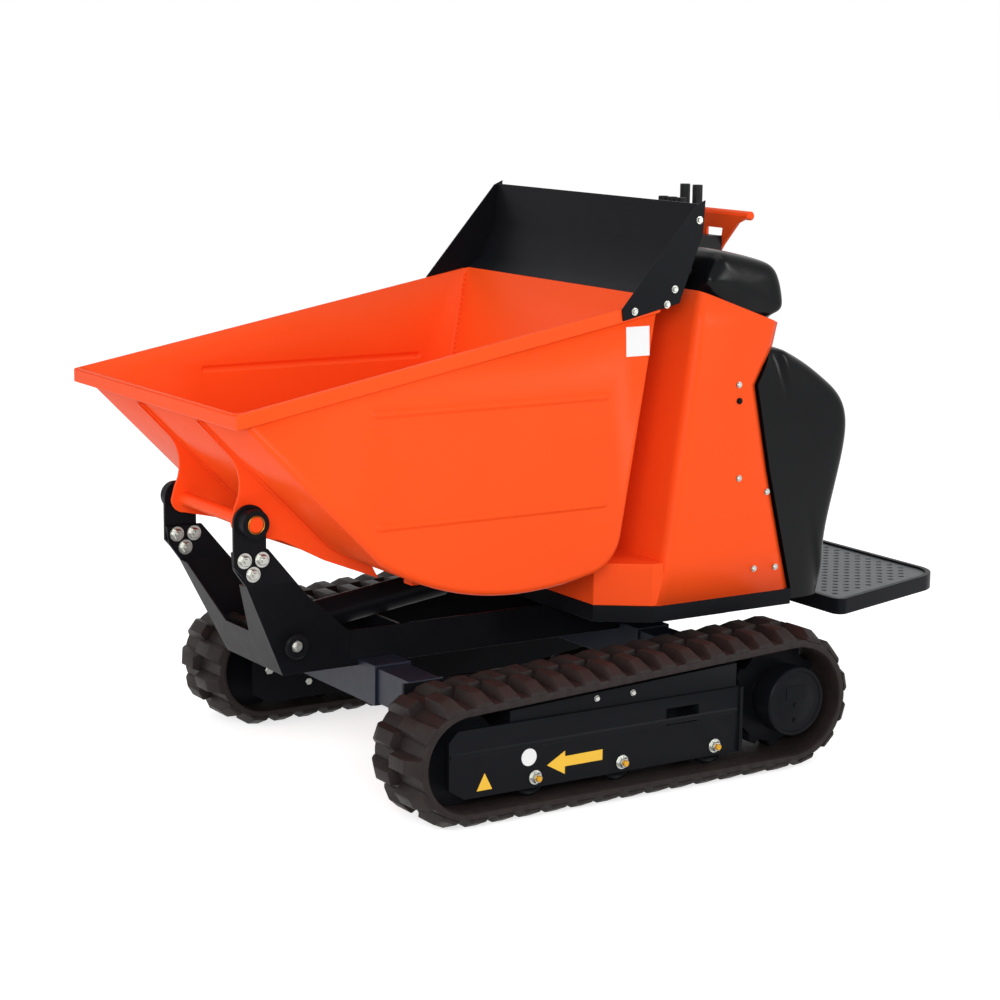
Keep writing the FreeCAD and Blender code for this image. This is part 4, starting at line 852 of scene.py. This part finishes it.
# a cover's section: (radius, distance from the machine's middle)
COVER_SECTION = ((0.01, 462), (70, 462), (70, 505), (67, 507.6), (63, 507.6), (61, 504.5),
                 (46, 503.5), (44, 504.5), (0.01, 504.5))
ROLLER_SECTION = ((13, 364), (36, 364), (41.5, 368), (41.5, 384), (31, 390), (31, 446),
                  (41.5, 452), (41.5, 469), (37, 473), (30, 469), (22, 473), (13, 473))
AXLE_SECTION = ((0.01, 323), (11, 323), (11, 480), (0.01, 480))
ARROW = ((312, 99), (271, 122), (271, 111), (184, 112), (184, 91), (271, 91), (271, 76))
WARNING = ((469, 72), (452, 105), (435, 72))
ROUND_FILM_AT = (353, 121)
ROUND_FILM_RADIUS = 17
FILM = 0.5
# the raised mark of the drive cover, and the crease of the outer plate: half its section
COVER_MARK = ((-301, 153), (-253, 153), (-253, 180), (-301, 180))
COVER_MARK_OUT = (504, 506)
CREASE = ((0, 151), (2.2, 146), (2.2, 144), (0, 139))
CREASE_ENDS = (-143, 527)
# like fasteners: name, slot, spots as (x, z), distance from the middle, corners, head radius,
# head height, washer radius
TRACK_FASTENERS = (
    ("roller_nuts_", "zinc", ROLLERS, OUTER_PLATE, 6, 11, 10, 14),
    ("roller_studs_", "yellow_zinc", ROLLERS, OUTER_PLATE + 8, 16, 6.4, 7, 6.4),
    ("cover_screws_", "black_paint", ((-277, 140), (-277, 108)), 502.5, 12, 4.5, 3, 4.5),
    ("frame_screws_", "zinc", ((195, 213), (110, 213)), 480, 12, 5, 4, 6),
)
# bolts on the frame's inner side: x, z, size
IDLER_BOLTS = ((IDLER[0], IDLER[1], 1.0), (IDLER[0] - 95, 92, 0.8))
INNER_SIDE = 322
TUBE_SEAM = ((512, 180), (512, 247), (442, 248))
TUBE_SEAM_AT = 314


# the belt's middle line round both wheels: wheel centres above, radii here
SPROCKET_BEND = 118
IDLER_BEND = 100
BELT_MIDDLE = 418
LUGS = 37
# half of the band's section: height over the middle line, distance from the belt's middle
BAND_SECTION = ((-8, 84), (-5, 89), (3, 90), (8, 87))
# one lug, (along, across, height): its foot, then its crown, then the crown's outer slope
LUG_FOOT = ((-20, 0, 7), (20, 0, 7), (21, 89, 7), (-21, 89, 7))
LUG_CROWN = ((-13, 2, 29.4), (13, 2, 29.4), (13, 56, 29.4), (-13, 56, 29.4))
LUG_SLOPE = ((16, 88, 14), (-16, 88, 14))
LUG_EDGE = 2.6
BAND_STATIONS = 148


def belt_run(distance):
    """A point of the belt's middle line and its outward direction, as (x, z) vectors."""
    rear, front = Vector(SPROCKET), Vector(IDLER)
    tilt = 2 * math.atan2(front.y - rear.y, front.x - rear.x)
    reach = front.x - rear.x
    front_turn = IDLER_BEND * (math.pi + tilt)
    rear_turn = SPROCKET_BEND * (math.pi - tilt)
    distance %= 2 * reach + front_turn + rear_turn
    down = Vector((0, -1))
    up = Vector((math.cos(math.pi / 2 + tilt), math.sin(math.pi / 2 + tilt)))
    if distance < reach:
        return rear + down * SPROCKET_BEND + Vector((distance, 0)), down
    distance -= reach
    if distance < front_turn:
        angle = distance / IDLER_BEND - math.pi / 2
        out = Vector((math.cos(angle), math.sin(angle)))
        return front + out * IDLER_BEND, out
    distance -= front_turn
    if distance < reach:
        return front + up * IDLER_BEND - Vector((up.y, -up.x)) * distance, up
    angle = (distance - reach) / SPROCKET_BEND + math.pi / 2 + tilt
    out = Vector((math.cos(angle), math.sin(angle)))
    return rear + out * SPROCKET_BEND, out


def belt_length():
    """The length of the belt's middle line."""
    reach = IDLER[0] - SPROCKET[0]
    tilt = 2 * math.atan2(IDLER[1] - SPROCKET[1], reach)
    return 2 * reach + IDLER_BEND * (math.pi + tilt) + SPROCKET_BEND * (math.pi - tilt)


def band_mesh(side):
    """The belt without its lugs."""
    section = [(h, y) for h, y in BAND_SECTION] + [(h, -y) for h, y in reversed(BAND_SECTION)]
    work = bmesh.new()
    rings = []
    for step in range(BAND_STATIONS):
        point, out = belt_run(belt_length() * step / BAND_STATIONS)
        rings.append([work.verts.new(Vector((point.x + out.x * h, side * BELT_MIDDLE + y,
                                             point.y + out.y * h)) * MM) for h, y in section])
    for one, two in zip(rings, rings[1:] + rings[:1]):
        band_between(work, one, two, True)
    return mesh_of("belt_band", work)


def lug_mesh():
    """One lug: a block whose crown falls away towards the belt's edge, its edges rounded."""
    work = bmesh.new()
    foot, crown, slope = [[work.verts.new(Vector(p) * MM) for p in group]
                          for group in (LUG_FOOT, LUG_CROWN, LUG_SLOPE)]
    work.faces.new(crown)
    work.faces.new((crown[2], slope[0], slope[1], crown[3]))
    work.faces.new((slope[0], foot[2], foot[3], slope[1]))
    work.faces.new((crown[1], crown[0], foot[0], foot[1]))
    work.faces.new((crown[1], foot[1], foot[2], slope[0], crown[2]))
    work.faces.new((crown[0], crown[3], slope[1], foot[3], foot[0]))
    edges = [edge for edge in work.edges if len(edge.link_faces) == 2]
    bmesh.ops.bevel(work, geom=edges, offset=LUG_EDGE * MM, segments=2, profile=0.6,
                    affect="EDGES")
    return mesh_of("lug", work)


def lug_spots(side):
    """Points on the belt's middle line with the outward and lengthwise direction of each lug."""
    mesh = bpy.data.meshes.new("lug_spots")
    points, facings, alongs = [], [], []
    for row, phase in ((1, 0), (-1, 0.5)):
        for number in range(LUGS):
            point, out = belt_run(belt_length() * (number + phase) / LUGS)
            points.append(Vector((point.x, side * BELT_MIDDLE, point.y)) * MM)
            facings += [out.x, 0.0, out.y]
            alongs += [-out.y * row * side, 0.0, out.x * row * side]
    mesh.from_pydata(points, [], [])
    for label, values in (("facing", facings), ("along", alongs)):
        mesh.attributes.new(label, "FLOAT_VECTOR", "POINT").data.foreach_set("vector", values)
    return mesh


def mirrored(points, side):
    """Crosswise distances on one side of the machine."""
    return [(radius, side * y) for radius, y in points]


class CARRIER_OT_tracks(bpy.types.Operator):
    """Make the belts, drive covers, rollers, creases, films and fasteners of both tracks"""

    bl_idname = "carrier.tracks"
    bl_label = "Tracks"

    def execute(self, context):
        for name, side in SIDES:
            body = body_of_node("belt_" + name)
            helpers = [linked("lug", lug_mesh()), linked("band", band_mesh(side))]
            belt = grown("tread_belt_" + name, lug_spots(side), "tread", {
                "Lug": helpers[0], "Band": helpers[1], "Material": finish_of("rubber")})
            for helper in helpers:
                bpy.data.objects.remove(helper)
            placed("tread_belt_" + name, belt, body, "rubber", 40, ("belt_" + name,))
            cover = bmesh.new()
            turned(cover, SPROCKET, mirrored(COVER_SECTION, side), 56)
            slab(cover, COVER_MARK, *sorted(side * y for y in COVER_MARK_OUT))
            placed("drive_cover_disc_" + name, mesh_of("drive_cover", cover), body,
                   "black_paint", SHARP, ("drive_cover_" + name,))
            wheels = bmesh.new()
            for spot in ROLLERS:
                turned(wheels, spot, mirrored(ROLLER_SECTION, side), 40)
                turned(wheels, spot, mirrored(AXLE_SECTION, side), 20)
            placed("roller_set_" + name, mesh_of("roller_set", wheels), body, "black_paint",
                   SHARP, ("rollers_" + name,))
            crease = bmesh.new()
            out = side * OUTER_PLATE
            slab(crease, [(out + side * y, z) for y, z in CREASE], *CREASE_ENDS, "x")
            placed("plate_crease_" + name, mesh_of("plate_crease", crease), body, "black_paint")
            near, far = sorted((out, out + side * FILM))
            film = bmesh.new()
            slab(film, ARROW, near, far)
            slab(film, WARNING, near, far)
            placed("yellow_films_" + name, mesh_of("yellow_films", film), body, "yellow_film")
            disc = bmesh.new()
            slab(disc, [(ROUND_FILM_AT[0] + ROUND_FILM_RADIUS * math.cos(step * math.pi / 16),
                         ROUND_FILM_AT[1] + ROUND_FILM_RADIUS * math.sin(step * math.pi / 16))
                        for step in range(32)], near, far)
            placed("round_film_" + name, mesh_of("round_film", disc), body, "white_film")
            for label, slot, spots, across, *sizes in TRACK_FASTENERS:
                fasteners(label + name, body, slot,
                          [(x, side * across, z, (0, side, 0), 1) for x, z in spots], *sizes)
            fasteners("idler_bolts_" + name, body, "zinc",
                      [(x, side * INNER_SIDE, z, (0, -side, 0), size)
                       for x, z, size in IDLER_BOLTS], 6, 11, 9, 15)
            weld("tube_welds_" + name, body, "blue_paint",
                 [[(x, side * TUBE_SEAM_AT, z) for x, z in TUBE_SEAM]])
        return {"FINISHED"}


# Front support and tipping gear

PIVOT = (770, 556)
CROSS_PIN = (669, 303)
TAB_BOLTS = ((783, 484), (746, 483), (765, 456))
BUSH_SECTION = ((15.4, 178), (17.8, 178), (17.8, 184.2), (16.6, 184.8), (15.4, 184.2))
CAP_SECTION = ((13, 149), (25, 149), (25, 154), (22, 156), (13, 156))


class CARRIER_OT_support(bpy.types.Operator):
    """Make the hinge bolts, the hinge bushes, and the pin collars and bolts of the front support
    """

    bl_idname = "carrier.support"
    bl_label = "Front support"

    def execute(self, context):
        bushes = bmesh.new()
        caps = bmesh.new()
        for _, side in SIDES:
            turned(bushes, PIVOT, mirrored(BUSH_SECTION, side), 36)
            turned(caps, CROSS_PIN, mirrored(CAP_SECTION, side), 32)
        placed("hinge_bushes", mesh_of("hinge_bushes", bushes), "chassis", "brass")
        placed("pin_collars", mesh_of("pin_collars", caps), "chassis", "black_paint")
        bolts = []
        for _, side in SIDES:
            for x, z in TAB_BOLTS:
                bolts.append((x, side * 157, z, (0, side, 0), 1))
                bolts.append((x, side * 141, z, (0, -side, 0), 1))
        fasteners("hinge_bolts", "chassis", "zinc", bolts, 6, 11, 8, 15, 5)
        fasteners("pin_bolts", "chassis", "zinc",
                  [(CROSS_PIN[0], side * 151, CROSS_PIN[1], (0, side, 0), 1)
                   for _, side in SIDES], 6, 8, 6, 11)
        return {"FINISHED"}


# Guard, body and platform

GUARD_BOLTS = ((-104, 1112), (-48, 979), (-30, 950), (47, 940))
GUARD_SIDE = 372
BRIGHT_SCREWS = ((-219, 779), (-225, 588), (-298, 554), (-270, 397), (-325, 395))
DARK_SCREWS = ((-221, 746),)
# like fasteners: name, body, slot, spots as (x, z), distance from the middle, corners,
# head radius, head height, washer radius
SIDE_FASTENERS = (
    ("guard_bolts", "skip", "zinc", GUARD_BOLTS, GUARD_SIDE, 6, 5.5, 4, 7.5),
    ("body_screws", "chassis", "zinc", BRIGHT_SCREWS, BODY_HALF, 16, 5, 3, 6.5),
    ("dark_body_screws", "chassis", "black_paint", DARK_SCREWS, BODY_HALF, 16, 5, 3, 6.5),
)
HOLE_ROWS = 20
# along a row's step, its slant, and between holes
HOLE_PITCH = (20, 23.5, 37)
FIRST_ROW_X = -862
# the platform's outline: rear and front place with the half width there, and its clear edge
PLATFORM_REAR = (-900, 239)
PLATFORM_FRONT = (-515, 352)
PLATFORM_EDGE = 42
PLATFORM_CORNER = 40
PLATFORM_MIDDLE_Z = 288


def platform_spots():
    """Middles of the platform's perforations, in slanting rows inside its tapered outline."""
    along, slant, apart = HOLE_PITCH
    (rear_x, rear_half), (front_x, front_half) = PLATFORM_REAR, PLATFORM_FRONT
    spread = (front_half - rear_half) / (front_x - rear_x)
    spots = []
    for row in range(HOLE_ROWS):
        x = FIRST_ROW_X + along * row
        corner = max(0, PLATFORM_CORNER - along * row)
        half = rear_half + spread * (x - rear_x) - PLATFORM_EDGE - corner
        offset = slant * row
        first = math.ceil((-half - offset) / apart)
        last = math.floor((half - offset) / apart)
        spots += [(x, offset + apart * i) for i in range(first, last + 1)]
    return [spot for spot in spots if spot[0] < front_x - PLATFORM_EDGE]


class CARRIER_OT_fittings(bpy.types.Operator):
    """Make the platform's perforated plate and the bolts and screws of guard and body"""

    bl_idname = "carrier.fittings"
    bl_label = "Fittings"

    def execute(self, context):
        sizes = context.scene.carrier_sizes
        mesh = bpy.data.meshes.new("platform_spots")
        mesh.from_pydata([Vector((x, y, PLATFORM_MIDDLE_Z)) * MM for x, y in platform_spots()],
                         [], [])
        spots = linked("platform_spots", mesh)
        plate = grown("platform_holes", merged_copy("platform_plate"), "perforations", {
            "Spots": spots, "Radius": sizes.perforation / 2, "Depth": 12 * MM,
            "Material": finish_of("grey_paint")})
        bpy.data.objects.remove(spots)
        placed("perforated_plate", plate, "platform", "grey_paint", SHARP, ("platform_plate",))
        for name, body, slot, places, across, *head in SIDE_FASTENERS:
            fasteners(name, body, slot, [(x, side * across, z, (0, side, 0), 1)
                                         for x, z in places for _, side in SIDES], *head)
        return {"FINISHED"}


# CAD nodes

EDGE_OF = {"skip_rim": "rim_edge", "platform_rim": "rim_edge"}
BARE_EDGE = ("engine_block",)
BLUE_NODES = ("slide_tubes_left", "slide_tubes_right", "cross_sleeves")


class CARRIER_OT_nodes(bpy.types.Operator):
    """Give every other CAD node its finish and rounded edges"""

    bl_idname = "carrier.nodes"
    bl_label = "Dress CAD nodes"

    def execute(self, context):
        sizes = context.scene.carrier_sizes
        for name in sorted(frame["nodes"]):
            if name in stood_for:
                continue
            slot = "blue_paint" if name in BLUE_NODES else slot_of_node(name)
            piece = placed(name + "_dressed", merged_copy(name), body_of_node(name), slot, SHARP,
                           (name,))
            if name not in BARE_EDGE:
                rounded(piece, getattr(sizes, EDGE_OF.get(name, "sheet_edge")))
        return {"FINISHED"}


# Stage

LAMPS = (
    # name, place, aim, size, watts
    ("key", (2.6, 3.6, 1.9), (0.1, 0, 0.55), (1.8, 1.6), 88),
    ("side", (-2.2, 3.4, 1.7), (-0.2, 0.2, 0.6), (0.5, 1.8), 42),
    ("front", (4.4, -0.6, 1.6), (0.4, 0, 0.5), (1.6, 1.6), 40),
    ("top", (0.0, 0.4, 4.2), (0, 0, 0), (3.0, 3.0), 40),
)
CAMERA_PLACE = (2.827, 4.264, 1.455)
# azimuth, elevation and roll in degrees
CAMERA_TURN = (32.47, 10.54, 0.62)
CAMERA_LENS = 89.14
WORLD_LIGHT = 0.42
FLOOR_GLOW = 0.7
FLOOR_HALF = 30.0


def camera_matrix(place, azimuth, elevation, roll):
    """A camera that looks back along an azimuth from +Y towards +X, then rolls."""
    a, e, r = (math.radians(angle) for angle in (azimuth, elevation, roll))
    back = Vector((math.sin(a) * math.cos(e), math.cos(a) * math.cos(e), math.sin(e)))
    right = (-back).cross(Vector((0, 0, 1))).normalized()
    up = right.cross(-back)
    turned_right = right * math.cos(r) + up * math.sin(r)
    turned_up = up * math.cos(r) - right * math.sin(r)
    turn = Matrix((turned_right, turned_up, back)).transposed()
    return Matrix.Translation(place) @ turn.to_4x4()


def area_lamp(name, place, aim, size, watts):
    """A large soft lamp that faces its aim."""
    lamp = bpy.data.lights.new(name, "AREA")
    lamp.shape = "RECTANGLE"
    lamp.size, lamp.size_y = size
    lamp.energy = watts
    direction = Vector(aim) - Vector(place)
    linked(name, lamp).matrix_world = (
        Matrix.Translation(place) @ direction.to_track_quat("-Z", "Y").to_matrix().to_4x4())


def white_where_seen(tree, dim_light, bright):
    """A strength that is bright for rays of the camera, a reflection or a transmission."""
    path = node(tree, "ShaderNodeLightPath")
    first = node(tree, "ShaderNodeMath", {"operation": "MAXIMUM"},
                 {0: path.outputs["Is Camera Ray"], 1: path.outputs["Is Glossy Ray"]})
    second = node(tree, "ShaderNodeMath", {"operation": "MAXIMUM"},
                  {0: first.outputs[0], 1: path.outputs["Is Transmission Ray"]})
    return node(tree, "ShaderNodeMapRange", {"To Min": dim_light, "To Max": bright},
                {"Value": second.outputs[0]}).outputs["Result"]


def floor_paint():
    """Matt white studio floor that shows white and keeps the object's shadow."""
    material = bpy.data.materials.new("matt_white_floor")
    material.use_nodes = True
    tree = material.node_tree
    surface = tree.nodes["Principled BSDF"]
    surface.inputs["Base Color"].default_value = linear("#E6E6E6")
    surface.inputs["Roughness"].default_value = 0.9
    surface.inputs["Specular IOR Level"].default_value = 0.0
    surface.inputs["Emission Color"].default_value = (1, 1, 1, 1)
    tree.links.new(white_where_seen(tree, 0.0, FLOOR_GLOW), surface.inputs["Emission Strength"])
    return material


class CARRIER_OT_stage(bpy.types.Operator):
    """Make the floor, the lamps, the world and the camera"""

    bl_idname = "carrier.stage"
    bl_label = "Stage"

    def execute(self, context):
        scene = context.scene
        scene.view_settings.view_transform = "Standard"
        world = bpy.data.worlds.new("studio")
        scene.world = world
        world.use_nodes = True
        background = world.node_tree.nodes["Background"]
        strength = white_where_seen(world.node_tree, WORLD_LIGHT, 1.0)
        world.node_tree.links.new(strength, background.inputs["Strength"])
        background.inputs["Color"].default_value = (1, 1, 1, 1)

        mesh = bpy.data.meshes.new("floor")
        half = FLOOR_HALF
        mesh.from_pydata([(-half, -half, 0), (half, -half, 0), (half, half, 0), (-half, half, 0)],
                         [], [(0, 1, 2, 3)])
        floor = linked("floor", mesh)
        floor.location.z = -0.2 * MM
        mesh.materials.append(floor_paint())

        for lamp in LAMPS:
            area_lamp(*lamp)

        camera = bpy.data.cameras.new("photo_camera")
        camera.sensor_width = 36.0
        camera.lens = CAMERA_LENS
        camera.clip_end = 100.0
        scene.camera = linked("photo_camera", camera)
        scene.camera.matrix_world = camera_matrix(Vector(CAMERA_PLACE), *CAMERA_TURN)
        return {"FINISHED"}


class CARRIER_PT_panel(bpy.types.Panel):
    """Lists the carrier's operators and its paint and size settings"""

    bl_idname = "CARRIER_PT_panel"
    bl_label = "Carrier"
    bl_space_type = "VIEW_3D"
    bl_region_type = "UI"
    bl_category = "Carrier"

    def draw(self, context):
        for operator in OPERATORS:
            self.layout.operator(operator.bl_idname)
        for group in (context.scene.carrier_paint, context.scene.carrier_sizes):
            for name in group.bl_rna.properties.keys():
                if name not in ("rna_type", "name"):
                    self.layout.prop(group, name)


OPERATORS = (
    CARRIER_OT_stage,
    CARRIER_OT_skip,
    CARRIER_OT_body,
    CARRIER_OT_tracks,
    CARRIER_OT_support,
    CARRIER_OT_fittings,
    CARRIER_OT_nodes,
)
CLASSES = (CarrierPaint, CarrierSizes) + OPERATORS + (CARRIER_PT_panel,)


def register():
    for item in CLASSES:
        bpy.utils.register_class(item)
    bpy.types.Scene.carrier_paint = bpy.props.PointerProperty(type=CarrierPaint)
    bpy.types.Scene.carrier_sizes = bpy.props.PointerProperty(type=CarrierSizes)


def unregister():
    del bpy.types.Scene.carrier_paint
    del bpy.types.Scene.carrier_sizes
    for item in reversed(CLASSES):
        bpy.utils.unregister_class(item)


def run_operator(identifier):
    """Runs an operator by its identifier, such as carrier.stage."""
    space, name = identifier.split(".")
    getattr(getattr(bpy.ops, space), name)()


def main():
    register()
    for operator in OPERATORS:
        run_operator(operator.bl_idname)


if __name__ == "__main__":
    main()
